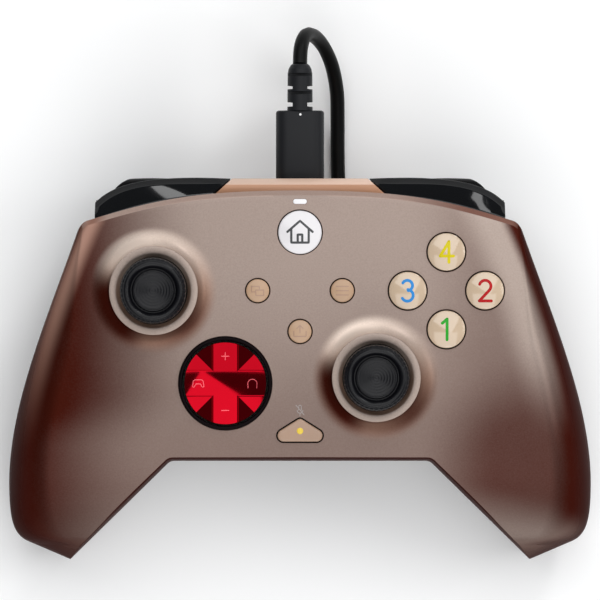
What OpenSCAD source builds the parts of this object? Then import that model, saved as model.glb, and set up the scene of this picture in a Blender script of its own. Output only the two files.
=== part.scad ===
// Wired gamepad: two-piece moulded case, two clickable thumbsticks, a rocking
// direction pad, push buttons, shoulder buttons, sprung triggers, two rumble
// motors and a detachable lead that is coiled under the case.
// The face looks up (+Z) and the lead leaves towards +Y. The gamepad lies on
// its grips and the ends of its triggers, and z = 0 is the table.

/* [Case] */
// Width across the two grips
body_w = 154; // [148:1:164]
// Height of the middle of the face above the table
face_z = 48; // [47:0.5:52]
// Height of the belly above the table
belly_z = 21; // [20.5:0.5:23]
// Wall of both shells
wall = 2; // [1.6:0.1:2.4]
// Width of the straight edge between the grips
notch_w = 66; // [60:1:72]
// How far the face falls from the middle to the sides
side_crown = 4; // [2:0.5:6]
// How far the face falls towards the grip tips
grip_droop = 20; // [16:1:24]
// Width of the rounding along the sides of the front shell
side_round = 12; // [9:1:15]
// Width of the rounding along the rear rim of the front shell
rim_round = 1.6; // [1.2:0.2:2.4]

/* [Thumbsticks] */
// Distance of the left stick and of the action buttons from the sides of the case
outer_control_in = 38.6; // [37:0.2:40]
// Place of the left stick and of the action buttons from front to rear
outer_control_y = 20.7; // [19:0.1:22]
// Right stick, from the middle
right_stick_x = 20; // [18.5:0.5:21]
// Right stick, from front to rear
right_stick_y = -2.1; // [-3:0.1:0]
// Radius of the opening around a stick
stick_hole_r = 9.8; // [9.5:0.1:10.2]
// Outer radius of the flat lip around the opening
stick_lip_r = 11.6; // [11:0.1:12.4]
// Radius at which the raised collar runs into the face
collar_r = 16.4; // [15.5:0.1:17.5]
// Height of the lip above the face
lip_rise = 4; // [3:0.25:5]
// Radius of the thumb cap
cap_r = 8.65; // [8:0.05:9]
// Tilt of a stick about each axis, degrees
stick_tilt = 16; // [10:1:16]

/* [Buttons] */
// Gap around every button
button_gap = 0.38; // [0.3:0.02:0.5]
// Radius of an action button
action_r = 4.92; // [4.5:0.02:5.2]
// Distance of the action buttons from the middle of their cross
action_pitch = 10.15; // [9.8:0.05:10.8]
// Radius of the home button
home_r = 5.7; // [5:0.1:6.2]
// Radius of the three small buttons
small_r = 3.03; // [2.6:0.01:3.4]
// Sideways place of the outer two small buttons
small_x = 11.1; // [10:0.1:12.5]
// Half-width of the mute button between its lower corner centres
mute_half_w = 4.3; // [3.5:0.1:5]
// Direction pad, from the middle
dpad_x = -19.6; // [-20.6:0.1:-18.6]
// Direction pad, from front to rear
dpad_y = -3.6; // [-4.6:0.1:-2.6]
// Radius of the direction pad's dish
dpad_r = 10.7; // [9.5:0.1:11.2]
// Width of the direction pad's arms
dpad_arm_w = 6.7; // [5.5:0.1:8]
// Width of the black ring around the direction pad
dpad_bezel_w = 1.35; // [0.9:0.05:1.8]

/* [Shoulders] */
// Travel of a trigger, degrees
trigger_travel = 15; // [8:1:16]
// Width of a trigger
trigger_w = 23.6; // [20:0.2:24]
// Skin of a trigger
trigger_skin = 2.2; // [1.6:0.1:3]
// Radius of the trigger and bumper pivot pins
pivot_r = 1.2; // [0.9:0.1:1.5]
// Radial running clearance of every pivot
pivot_gap = 0.05; // [0.02:0.01:0.1]

/* [Lead] */
// Diameter of the lead
cord_d = 3.8; // [3.2:0.1:3.8]
// Turns of the coil in each of its four layers
coil_turns = 4; // [3:1:4]
// Distance between turns beside and above each other
coil_pitch = 4.27; // [4.25:0.01:4.35]
// Width of the plug's moulded body
plug_w = 12.7; // [11.5:0.1:13]
// Thickness of the plug's moulded body
plug_t = 6.2; // [5.5:0.1:6.4]

/* [Hidden] */
$fn = 48;
fit = 0.05;
half_w = body_w / 2;
outer_control_x = half_w - outer_control_in;

// Outline of the case, right half. The rear rim, shoulder, side, heel and tip
// make the outer edge. The notch, its corner and the inner slope make the inner edge.
rim_y = 47;
shoulder = [half_w - 21.2, 39.1];
side_top = shoulder + [2.7, -2.8];
bulge_y = -30.7;
heel = [half_w - 5, -45.7];
tip = [half_w - 16.1, -50.5];
notch_y = -24.2;
notch_x = notch_w / 2;
notch_corner = 2.6;
RIM = [[0, rim_y], [shoulder.x / 2, rim_y], [shoulder.x - 17.8, rim_y - 2.5], shoulder];
SHOULDER = [shoulder, shoulder + [1.3, -0.4], side_top + [-0.5, 1.2], side_top];
SIDE = [side_top, side_top + [8.6, -24], [half_w, bulge_y + 20.8], [half_w, bulge_y]];
HEEL = [[half_w, bulge_y], [half_w, bulge_y - 9.3], [half_w - 1, heel.y + 1.7], heel];
slope_start = [notch_x + notch_corner, notch_y - 0.54 * notch_corner];
CORNER = [[notch_x, notch_y], [notch_x + notch_corner / 2, notch_y],
          [notch_x + 0.7 * notch_corner, notch_y - 0.25 * notch_corner], slope_start];
// The rear wall of the back shell stands in front of the triggers.
rear_wall_y = 37;
REAR = [[0, rear_wall_y], [18, rear_wall_y], [36, rear_wall_y], [shoulder.x - 2, rear_wall_y]];
REAR_END = [REAR[3], REAR[3] + [1.5, 0], side_top + [-1.5, 0.2], side_top];

// Stations along the half outline: the count of steps to the end of each stretch.
RIM_STEPS = 10;
SHOULDER_STEPS = 12;
SIDE_STEPS = 21;
HEEL_STEPS = 25;
TIP_STEPS = 28;

// Heights of the seam between the shells.
rim_seam_z = face_z - 5;
notch_seam_z = belly_z + 5;
tip_seam_z = 13;

// Steps across a section: each rounded edge, then the middle.
EDGE_STEPS = 4;
MIDDLE_STEPS = 4;
ACROSS_STEPS = 2 * EDGE_STEPS + MIDDLE_STEPS;

function mix(a, b, t) = a + (b - a) * t;
function ease(t) = let (q = max(0, min(1, t))) q * q * (3 - 2 * q);
function bezier(p, t) = let (s = 1 - t)
    s * s * s * p[0] + 3 * s * s * t * p[1] + 3 * s * t * t * p[2] + t * t * t * p[3];
function unit(v) = v / norm(v);
function mirror_x(p, side) = [side * p.x, p.y];

// A point on the outer or inner edge of the half outline at station i.
function outer_half(i, back) =
    i <= RIM_STEPS ? bezier(back ? REAR : RIM, i / RIM_STEPS) :
    i <= SHOULDER_STEPS ? bezier(back ? REAR_END : SHOULDER, (i - RIM_STEPS) / (SHOULDER_STEPS - RIM_STEPS)) :
    i <= SIDE_STEPS ? bezier(SIDE, (i - SHOULDER_STEPS) / (SIDE_STEPS - SHOULDER_STEPS)) :
    i <= HEEL_STEPS ? bezier(HEEL, (i - SIDE_STEPS) / (HEEL_STEPS - SIDE_STEPS)) :
    mix(heel, tip, (i - HEEL_STEPS) / (TIP_STEPS - HEEL_STEPS));
function inner_half(i) =
    i <= RIM_STEPS ? [notch_x * i / RIM_STEPS, notch_y] :
    i <= SHOULDER_STEPS ? bezier(CORNER, (i - RIM_STEPS) / (SHOULDER_STEPS - RIM_STEPS)) :
    mix(slope_start, tip, (i - SHOULDER_STEPS) / (TIP_STEPS - SHOULDER_STEPS));
function outer_edge(i, back) = mirror_x(outer_half(abs(i), back), i < 0 ? -1 : 1);
function inner_edge(i) = mirror_x(inner_half(abs(i)), i < 0 ? -1 : 1);

// The edges moved into the case by a distance, for the cavity.
function turned(v) = unit([v.y, -v.x]);
function inward_outer(i, back) =
    let (h = min(abs(i), TIP_STEPS - 0.3), first = h < SHOULDER_STEPS ? 0 : SHOULDER_STEPS)
    mirror_x(turned(outer_half(h + 0.3, back) - outer_half(max(h - 0.3, first), back)), i < 0 ? -1 : 1);
function inward_inner(i) = let (h = min(abs(i), TIP_STEPS - 0.3))
    mirror_x(-turned(inner_half(h + 0.3) - inner_half(max(h - 0.3, 0))), i < 0 ? -1 : 1);
function outer_in(i, inset, back) = outer_edge(i, back) + inset * inward_outer(i, back);
function inner_in(i, inset) = inner_edge(i) + inset * inward_inner(i);
function tip_in(side, inset) =
    let (a = inward_outer(side * TIP_STEPS, false), b = inward_inner(side * TIP_STEPS))
    mirror_x(tip, side) + inset * (a + b) / (1 + a * b);

// Heights: the seam along both edges, the face, and the underside.
function seam_outer(i) =
    let (q = max(0, (abs(i) - RIM_STEPS - 1) / (TIP_STEPS - RIM_STEPS - 1)))
    rim_seam_z - (rim_seam_z - tip_seam_z) * sin(90 * q);
function seam_inner(i) =
    mix(notch_seam_z, tip_seam_z, ease((abs(i) - SHOULDER_STEPS) / (TIP_STEPS - SHOULDER_STEPS)));
droop_start_y = -10;
rear_crown = 1;
rear_crown_y = 20;
function face_height(p) = face_z - side_crown * pow(p.x / half_w, 2)
    - rear_crown * pow(max(0, p.y - rear_crown_y) / (rim_y - rear_crown_y), 2)
    - grip_droop * pow(max(0, droop_start_y - p.y) / (droop_start_y - tip.y), 2);
// The underside falls from the belly to the table along each grip.
grip_low_steps = 22;
function under_height(i) =
    belly_z * (1 - ease((abs(i) - SHOULDER_STEPS) / (grip_low_steps - SHOULDER_STEPS)));
// Both shells round off towards the grip tips.
function nose(i) = let (q = max(0, (abs(i) - HEEL_STEPS + 1) / (TIP_STEPS - HEEL_STEPS + 1))) sqrt(1 - q * q);

// Widths of the edge roundings, narrowed where the grip is slim.
function front_outer_round(i) = mix(rim_round, side_round, ease((abs(i) - RIM_STEPS - 1) / 4));
function back_outer_round(i) = mix(5, 15, ease((abs(i) - RIM_STEPS - 1) / 5));
function back_inner_round(i) = mix(7, 12, ease((abs(i) - RIM_STEPS) / 6));
front_inner_round = 1.2;
function edge_rounds(i, w, back, inset) =
    let (o = max(0.5, (back ? back_outer_round(i) : front_outer_round(i)) - inset),
         n = max(0.5, (back ? back_inner_round(i) : front_inner_round) - inset),
         k = min(1, 0.98 * w / (o + n)))
    [o * k, n * k];

// Step j across a section: [share of the way from outer to inner edge,
// share of the full height, share of the inner seam].
function across(j, w, rounds) =
    j <= EDGE_STEPS ? let (a = 90 * j / EDGE_STEPS) [rounds[0] * (1 - cos(a)) / w, sin(a), 0] :
    j >= EDGE_STEPS + MIDDLE_STEPS ? let (a = 90 * (ACROSS_STEPS - j) / EDGE_STEPS)
        [1 - rounds[1] * (1 - cos(a)) / w, sin(a), 1] :
    let (q = (j - EDGE_STEPS) / MIDDLE_STEPS) [mix(rounds[0], w - rounds[1], q) / w, 1, q];
function section_point(i, j, back, inset) =
    let (o = outer_in(i, inset, back), n = inner_in(i, inset), w = norm(n - o),
         step = across(j, w, edge_rounds(i, w, back, inset)),
         p = mix(o, n, step[0]),
         seam = mix(seam_outer(back ? max(abs(i), SHOULDER_STEPS) : i), seam_inner(i), step[2]),
         full = back ? under_height(i) + inset : face_height(p) - inset)
    [p.x, p.y, seam + (full - seam) * step[1] * nose(i)];

// One shell as a closed skin: the outside, the cavity and the rim between them.
LAST_STEP = TIP_STEPS - 1;
ROW_COUNT = 2 * LAST_STEP + 1;
COLUMN_COUNT = ACROSS_STEPS + 1;
function tip_point(side, inset) = let (p = tip_in(side, inset)) [p.x, p.y, tip_seam_z];
function skin_points(back, inset) = concat(
    [for (i = [-LAST_STEP:LAST_STEP]) for (j = [0:ACROSS_STEPS]) section_point(i, j, back, inset)],
    [tip_point(-1, inset), tip_point(1, inset)]);
function at(i, j) = i * COLUMN_COUNT + j;
function skin_faces(start, flip) = let (
    quads = [for (i = [0:ROW_COUNT - 2]) for (j = [0:ACROSS_STEPS - 1])
        each [[at(i, j), at(i, j + 1), at(i + 1, j + 1)], [at(i, j), at(i + 1, j + 1), at(i + 1, j)]]],
    left_tip = ROW_COUNT * COLUMN_COUNT,
    right_tip = left_tip + 1,
    last_row = ROW_COUNT - 1,
    tips = [for (j = [0:ACROSS_STEPS - 1])
        each [[left_tip, at(0, j + 1), at(0, j)], [right_tip, at(last_row, j), at(last_row, j + 1)]]])
    [for (f = concat(quads, tips)) let (g = [for (v = f) v + start]) flip ? [g[2], g[1], g[0]] : g];
// The loop of points along the seam, starting at the left tip.
function seam_loop(start) = concat(
    [start + ROW_COUNT * COLUMN_COUNT],
    [for (i = [0:ROW_COUNT - 1]) start + at(i, 0)],
    [start + ROW_COUNT * COLUMN_COUNT + 1],
    [for (i = [ROW_COUNT - 1:-1:0]) start + at(i, ACROSS_STEPS)]);
function strip_faces(a, b, flip) = let (n = len(a)) [for (k = [0:n - 1]) let (m = (k + 1) % n)
    each (flip ? [[a[k], b[m], a[m]], [a[k], b[k], b[m]]] : [[a[k], a[m], b[m]], [a[k], b[m], b[k]]])];

module shell_skin(back) {
    outside = skin_points(back, 0);
    count = len(outside);
    polyhedron(
        points = concat(outside, skin_points(back, wall)),
        faces = concat(
            skin_faces(0, !back), skin_faces(count, back),
            strip_faces(seam_loop(0), seam_loop(count), !back)));
}

// Places on the face.
left_stick = [-outer_control_x, outer_control_y];
right_stick = [right_stick_x, right_stick_y];
action_mid = [outer_control_x, outer_control_y];
ACTIONS = [[0, 1], [1, 0], [0, -1], [-1, 0]];
function action_place(k) = action_mid + action_pitch * ACTIONS[k];
dpad = [dpad_x, dpad_y];
home = [0, rim_y - 11];
view = [-small_x, outer_control_y];
menu = [small_x, outer_control_y];
share = [0, outer_control_y - 10.7];
mute = [0, notch_y + 6.9];
mute_peak = 3.3;
mute_corner_r = 1.6;
mute_lamp_place = mute + [0, 1.2];
mute_lamp_r = 0.85;
lamp = [0, rim_y - 2.9];
lamp_w = 3.6;
lamp_h = 1.3;

// The circuit board and what stands on it.
pcb_t = 1.6;
pcb_top = face_z - 13.5;
switch_h = 1.6;
lamp_board_w = 18;
lamp_board_z = pcb_top + 3;
pcb_half_w = half_w - 23;
pcb_rear_y = rear_wall_y - wall - 0.7;
pcb_front_y = notch_y + wall + 3.8;
PCB = [[pcb_half_w - 8, pcb_rear_y], [pcb_half_w - 4.5, pcb_rear_y - 3.3],
       [pcb_half_w - 4.5, pcb_rear_y - 7.8], [pcb_half_w, pcb_rear_y - 8.3],
       [pcb_half_w, pcb_rear_y - 22.3], [pcb_half_w - 6, pcb_rear_y - 28.3],
       [pcb_half_w - 10, pcb_front_y + 8.4], [pcb_half_w - 24, pcb_front_y]];
function both_sides(p) = concat(p, [for (k = [len(p) - 1:-1:0]) [-p[k].x, p[k].y]]);
standoff_r = 2;
STANDOFFS = [[pcb_half_w - 22, 28], [12, pcb_front_y + 3.4], [pcb_half_w - 14, -4]];

// Case screws: place, height where boss and post meet, height where the boss begins.
SCREWS = [[[half_w - 22.6, 30.4], pcb_top - pcb_t, belly_z + 0.6], [[half_w - 14, -40], 15, 0.6]];
screw_r = 1.1;
screw_head_r = 2.4;
screw_head_h = 1.8;
screw_seat = 3;
screw_bite = 8;
post_r = 2.8;
boss_r = 3.9;

// Button insides: a retaining flange under the face.
flange_gap = 0.9;
flange_t = 1.2;
action_throw = 1.4;
small_throw = 0.6;

// Shoulder pivots.
pivot_y = rear_wall_y + 4.5;
pivot_z = rim_seam_z - 12;
bridge_half_w = half_w - 54.6;
bridge_rear_half_w = bridge_half_w - 4.6;
bumper_pin = [bridge_half_w + 2.8, rear_wall_y + 5];
bumper_low_z = rim_seam_z - 7.6;
frame_top_z = bumper_low_z - 0.4;

// The connector under the rear edge of the board, and the headset socket in front.
port_w = 8.94;
port_h = 3.26;
port_wall = 0.3;
port_z = pcb_top - pcb_t - port_h / 2 - fit;
jack_z = pcb_top + 2.7;
jack_bore_r = 1.8;
jack_nose_r = 3;

// Colours
CASE = [0.62, 0.55, 0.51];
TRIM = [0.78, 0.68, 0.62];
CREAM = [0.85, 0.79, 0.71];
BLACK = [0.08, 0.08, 0.09];
DARK = [0.2, 0.2, 0.22];
RED = [0.8, 0.07, 0.12];
METAL = [0.75, 0.75, 0.77];
BOARD = [0.1, 0.35, 0.2];

// Small helpers
module on_face(p) translate([p.x, p.y, 0]) children();
module sides() for (s = [0, 1]) mirror([s, 0, 0]) children();
module slot_plan(w, h) {
    square([w - h, h], center = true);
    for (s = [-1, 1]) translate([s * (w - h) / 2, 0]) circle(d = h);
}
// Stands a plan up so that it runs along +Y from y to y + length at height z.
module along_y(y, length, z) translate([0, y, z]) rotate([-90, 0, 0]) linear_extrude(length) children();
module rod_x(x, length, r) translate([x, 0, 0]) rotate([0, 90, 0]) cylinder(r = r, h = length);
module rod_y(y, length, r) translate([0, y, 0]) rotate([-90, 0, 0]) cylinder(r = r, h = length);
module mute_plan(grow) hull() {
    for (s = [-1, 1]) translate([s * mute_half_w, mute.y]) circle(r = mute_corner_r + grow);
    translate([0, mute.y + mute_peak]) circle(r = mute_corner_r + grow - 0.5);
}

// Space for the lamp board above the connector
module lamp_board_room() translate([-lamp_board_w / 2 - 0.8, rear_wall_y - 6, lamp_board_z - 0.6])
    cube([lamp_board_w + 1.6, lamp.y + 2.1 - rear_wall_y + 6, 20]);

// Front shell
module stick_collar(p) {
    base = face_height(p) - 0.7;
    top = face_height(p) + lip_rise;
    on_face(p) rotate_extrude() polygon(concat(
        [[stick_hole_r - 1, base - 1.6], [stick_hole_r - 1, top]],
        [for (a = [90:-15:0])
            [collar_r - (collar_r - stick_lip_r) * sin(a), base + (top - base) * (1 - cos(a))]],
        [[collar_r, base - 1.6]]));
}
module face_hole(p, r) on_face(p) translate([0, 0, face_z - 16]) cylinder(r = r, h = 30);
module front_shell() color(CASE) difference() {
    union() {
        shell_skin(false);
        stick_collar(left_stick);
        stick_collar(right_stick);
        sides() for (s = SCREWS) on_face(s[0])
            translate([0, 0, s[1]]) cylinder(r = post_r, h = face_height(s[0] - [0, post_r]) - 0.9 - s[1]);
    }
    face_hole(left_stick, stick_hole_r);
    face_hole(right_stick, stick_hole_r);
    face_hole(dpad, dpad_r + dpad_gap + dpad_bezel_w + fit);
    for (k = [0:3]) face_hole(action_place(k), action_r + button_gap);
    face_hole(home, home_r + button_gap * 0.7);
    for (p = [view, menu, share]) face_hole(p, small_r + button_gap * 0.8);
    translate([0, 0, face_z - 16]) linear_extrude(30) mute_plan(button_gap);
    on_face(lamp) translate([0, 0, face_z - 16]) linear_extrude(30)
        slot_plan(lamp_w + 2 * fit, lamp_h + 2 * fit);
    translate([0, 0, jack_z]) rod_y(notch_y - 5, 12, jack_nose_r + fit);
    sides() for (s = SCREWS) on_face(s[0])
        translate([0, 0, s[1] - 1]) cylinder(r = screw_r + fit, h = screw_bite + 2);
}

// Back shell
paddle_steps = 16.5;
paddle_step = EDGE_STEPS + MIDDLE_STEPS;
paddle_l = 15;
paddle_w = 6;
paddle_proud = 1.4;
paddle_throw = 0.8;
paddle_at = section_point(paddle_steps, paddle_step, true, 0);
paddle_along = unit(section_point(paddle_steps + 1, paddle_step, true, 0)
    - section_point(paddle_steps - 1, paddle_step, true, 0));
paddle_cross = unit(section_point(paddle_steps, paddle_step + 1, true, 0)
    - section_point(paddle_steps, paddle_step - 1, true, 0));
paddle_out = unit(cross(paddle_cross, paddle_along)) * (cross(paddle_cross, paddle_along).z > 0 ? -1 : 1);
paddle_side = unit(cross(paddle_out, paddle_along));
// Local frame of a paddle: x along the grip, z out of the case.
module at_paddle() multmatrix([
    [paddle_along.x, paddle_side.x, paddle_out.x, paddle_at.x],
    [paddle_along.y, paddle_side.y, paddle_out.y, paddle_at.y],
    [paddle_along.z, paddle_side.z, paddle_out.z, paddle_at.z],
    [0, 0, 0, 1]]) children();

// Two ribs on the floor of each grip carry the motor.
MOTOR_RIBS = [for (i = [17, 18]) section_point(i, EDGE_STEPS, true, 0)];
motor_at = [MOTOR_RIBS[0].x + 1, -16, face_z - 23];
motor_r = 6;
motor_l = 12;
module back_shell() color(DARK) difference() {
    union() {
        shell_skin(true);
        sides() {
            for (s = SCREWS) on_face(s[0]) translate([0, 0, s[2]]) cylinder(r = boss_r, h = s[1] - s[2]);
            for (p = STANDOFFS) on_face(p) translate([0, 0, belly_z + 0.8])
                cylinder(r = standoff_r, h = pcb_top - pcb_t - belly_z - 0.8);
            for (p = MOTOR_RIBS) translate([p.x - 1.2, p.y - 1, p.z + 0.6 * wall])
                cube([4, 2, motor_at.z - p.z - 0.6 * wall]);
        }
    }
    sides() for (s = SCREWS) on_face(s[0]) {
        translate([0, 0, s[1] - screw_seat - 30]) cylinder(r = screw_head_r + 0.5, h = 30);
        translate([0, 0, s[1] - screw_seat - 1]) cylinder(r = screw_r + 0.3, h = screw_seat + 2);
    }
    sides() translate([motor_at.x, motor_at.y, motor_at.z]) rod_y(-motor_l, 2 * motor_l, motor_r + fit);
    sides() at_paddle() translate([0, 0, -6]) linear_extrude(14)
        slot_plan(paddle_l + 2 * button_gap, paddle_w + 2 * button_gap);
    along_y(rear_wall_y - 6, 10, port_z) slot_plan(port_w + 1, port_h + 1);
    lamp_board_room();
}

// Trim between the shoulder buttons, with the opening for the plug
bridge_front_y = rim_y - 1;
bridge_rear_y = rim_y + 3.2;
bridge_low_z = port_z - plug_t / 2 - 3.4;
module top_bridge() color(TRIM) difference() {
    intersection() {
        linear_extrude(face_z) polygon([
            [-bridge_half_w, rear_wall_y], [bridge_half_w, rear_wall_y], [bridge_half_w, bridge_front_y],
            [bridge_rear_half_w, bridge_rear_y], [-bridge_rear_half_w, bridge_rear_y],
            [-bridge_half_w, bridge_front_y]]);
        rotate([90, 0, 90]) translate([0, 0, -half_w]) linear_extrude(body_w) polygon([
            [rear_wall_y, bridge_low_z], [bridge_rear_y - 1.4, bridge_low_z],
            [bridge_rear_y, bridge_low_z + 3], [bridge_rear_y, rim_seam_z - 3],
            [bridge_rear_y - 1.6, rim_seam_z + 0.2], [rim_y + 0.2, rim_seam_z - 0.2],
            [rear_wall_y, rim_seam_z - 0.4]]);
    }
    along_y(rear_wall_y - 1, 20, port_z) slot_plan(plug_w + 0.8, plug_t + 0.8);
    lamp_board_room();
}

// Connector and board
module usb_port() color(METAL) difference() {
    along_y(29.5, 7.3, port_z) slot_plan(port_w, port_h);
    along_y(30.5, 7.3, port_z) slot_plan(port_w - 2 * port_wall, port_h - 2 * port_wall);
}
module main_pcb() color(BOARD) {
    translate([0, 0, pcb_top - pcb_t]) linear_extrude(pcb_t) polygon(both_sides(PCB));
    for (p = [view, menu, share]) on_face(p)
        translate([-2, -2, pcb_top]) cube([4, 4, switch_h]);
}
// Small board that carries the home switch and the lamp, on a leg of its own.
module lamp_board() color(BOARD) {
    translate([-lamp_board_w / 2, 28, pcb_top]) cube([lamp_board_w, 3, lamp_board_z - pcb_top]);
    translate([-lamp_board_w / 2, 28, lamp_board_z]) cube([lamp_board_w, lamp.y - 27, 1]);
    on_face(home) translate([-2, -2, lamp_board_z + 1]) cube([4, 4, switch_h]);
}
module audio_jack() color(BLACK) difference() {
    union() {
        translate([-3.4, -19.8, pcb_top]) cube([6.8, 11.6, 5.4]);
        translate([0, 0, jack_z]) rod_y(notch_y + 0.7, 5, jack_nose_r);
    }
    translate([0, 0, jack_z]) rod_y(notch_y - 1, 15.7, jack_bore_r);
}
module lamp_window() color(CREAM) on_face(lamp)
    translate([0, 0, face_height(lamp) - wall - 1.2]) linear_extrude(wall + 1.3) slot_plan(lamp_w, lamp_h);

// Thumbsticks: a socket on the board, a gimbal ring, a rocker ball, a sliding stem and a cap.
stick_drop = 10.5;
socket_w = 17;
socket_r = 6.9;
ring_r = 6.2;
ring_bore_r = 4.6;
ring_t = 2.4;
ball_r = 4.1;
stem_r = 1.5;
stick_pin_r = 0.9;
stick_click = 0.6;
function stick_pivot(p) = face_height(p) + lip_rise - stick_drop;
module at_stick(p) translate([p.x, p.y, stick_pivot(p)]) children();
module stick_socket(p) color(METAL) {
    low = pcb_top - stick_pivot(p);
    at_stick(p) difference() {
        translate([-socket_w / 2, -socket_w / 2, low]) cube([socket_w, socket_w, 1.4 - low]);
        translate([0, 0, low + 0.6]) cylinder(r = socket_r, h = 20);
        rod_x(-socket_w, 2 * socket_w, stick_pin_r + pivot_gap);
    }
}
module stick_gimbal(p) color(DARK) at_stick(p) difference() {
    union() {
        translate([0, 0, -ring_t / 2]) cylinder(r = ring_r, h = ring_t);
        rod_x(-socket_w / 2 + 0.2, socket_w - 0.4, stick_pin_r);
    }
    translate([0, 0, -ring_t]) cylinder(r = ring_bore_r, h = 2 * ring_t);
    rod_y(-ring_r - 1, 2 * ring_r + 2, stick_pin_r * 0.8 + pivot_gap);
}
module stick_rocker(p) color(CREAM) at_stick(p) difference() {
    union() {
        sphere(r = ball_r);
        rod_y(-ring_r + 0.2, 2 * ring_r - 0.4, stick_pin_r * 0.8);
    }
    translate([0, 0, -ball_r - 1]) cylinder(r = stem_r + pivot_gap, h = 2 * ball_r + 2);
}
module stick_stem(p) color(METAL) at_stick(p)
    translate([0, 0, -ball_r]) cylinder(r = stem_r, h = ball_r + 16.8);
cap_low = stick_drop + 4.5;
cap_top = cap_low + 4.2;
neck_r = 4;
skirt_r = 8.2;
skirt_t = 1;
skirt_edge = 48;
cap_groove_r = 5.9;
module stick_cap(p) color(BLACK) at_stick(p) difference() {
    rotate_extrude() polygon(concat(
        [[0, ball_r + 1], [neck_r - 0.6, ball_r + 1]],
        [for (a = [26:5.5:skirt_edge]) (skirt_r - skirt_t) * [sin(a), cos(a)]],
        [for (a = [skirt_edge:-5.5:30]) skirt_r * [sin(a), cos(a)]],
        [[neck_r, skirt_r + 1.2], [neck_r + 0.4, cap_low - 0.6], [cap_r - 1.6, cap_low],
         [cap_r - 0.4, cap_low + 0.4], [cap_r, cap_low + 1.2], [cap_r, cap_top - 1.4],
         [cap_r - 0.5, cap_top - 0.4], [cap_r - 1.3, cap_top], [cap_groove_r + 0.5, cap_top - 0.3],
         [cap_groove_r, cap_top - 1.1], [cap_groove_r - 1, cap_top - 0.9],
         [cap_groove_r / 2, cap_top - 1.25], [0, cap_top - 1.35]]));
    translate([0, 0, -1]) cylinder(r = stem_r, h = 17.8);
}
module left_stick_socket() stick_socket(left_stick);
module left_stick_gimbal() stick_gimbal(left_stick);
module left_stick_rocker() stick_rocker(left_stick);
module left_stick_stem() stick_stem(left_stick);
module left_stick_cap() stick_cap(left_stick);
module right_stick_socket() stick_socket(right_stick);
module right_stick_gimbal() stick_gimbal(right_stick);
module right_stick_rocker() stick_rocker(right_stick);
module right_stick_stem() stick_stem(right_stick);
module right_stick_cap() stick_cap(right_stick);

// Direction pad: a fulcrum on the board, a rocker that tips about X and a cap that tips about Y.
dpad_gap = 0.6;
dpad_tip = 4;
dpad_pivot_z = face_height(dpad) - 5.2;
dpad_arm_z = dpad_pivot_z + 5.9;
dpad_valley_z = dpad_pivot_z + 4;
dpad_fold_rise = 3.4;
module dpad_bezel() color(BLACK) on_face(dpad)
    translate([0, 0, face_height(dpad) - wall - 0.8]) difference() {
        cylinder(r = dpad_r + dpad_gap + dpad_bezel_w, h = wall + 1.1);
        translate([0, 0, -1]) cylinder(r = dpad_r + dpad_gap, h = wall + 4);
    }
module dpad_membrane() color(DARK) on_face(dpad) difference() {
    union() {
        translate([0, 0, pcb_top]) cylinder(r = 9.5, h = 1);
        for (a = [0:90:270]) rotate(a) translate([6, 0, pcb_top]) cylinder(r1 = 2.4, r2 = 1.6, h = 5);
    }
    translate([0, 0, pcb_top - 1]) cylinder(r = 2.3, h = 8);
}
module dpad_fulcrum() color(METAL) on_face(dpad) {
    translate([0, 0, pcb_top]) cylinder(r = 2, h = dpad_pivot_z - 2.3 - pcb_top);
    translate([0, 0, dpad_pivot_z - 2.3]) sphere(r = 2);
}
module dpad_rocker() color(METAL) on_face(dpad) translate([0, 0, dpad_pivot_z]) {
    for (a = [0, 90]) rotate(a) translate([-7.5, -2, 0]) cube([15, 4, 0.9]);
    cylinder(r = 3.2, h = 0.9);
}
// A quarter of the cap between two arms: two flat facets that rise from the arms to a fold on the diagonal.
module dpad_quarter() {
    a = dpad_arm_w / 2 - 0.5;
    e = dpad_r + 1;
    low = dpad_pivot_z + 2.2;
    polyhedron(
        points = [[a, a, low], [e, a, low], [e, e, low], [a, e, low],
                  [a, a, dpad_valley_z], [e, a, dpad_valley_z + 0.4],
                  [e, e, dpad_valley_z + dpad_fold_rise], [a, e, dpad_valley_z + 0.4]],
        faces = [[0, 1, 2], [0, 2, 3], [4, 6, 5], [4, 7, 6], [0, 4, 5], [0, 5, 1],
                 [1, 5, 6], [1, 6, 2], [2, 6, 7], [2, 7, 3], [3, 7, 4], [3, 4, 0]]);
}
module dpad_cap() color(RED) on_face(dpad) {
    dish = 45;
    intersection() {
        translate([0, 0, dpad_pivot_z + 1.8]) cylinder(r = dpad_r, h = 8);
        difference() {
            union() {
                translate([0, 0, dpad_pivot_z + 1.8]) cylinder(r = dpad_r + 2, h = 1.2);
                for (q = [0:90:270]) rotate(q) dpad_quarter();
                for (q = [0, 90]) rotate(q) translate([-dpad_r - 1, -dpad_arm_w / 2, dpad_pivot_z + 2])
                    cube([2 * dpad_r + 2, dpad_arm_w, dpad_arm_z - dpad_pivot_z - 2]);
            }
            translate([0, 0, dpad_arm_z + dish - 1.1]) sphere(r = dish, $fn = 96);
        }
    }
    translate([0, 0, dpad_pivot_z + 1.2]) cylinder(r = 2.2, h = 1);
}

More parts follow.
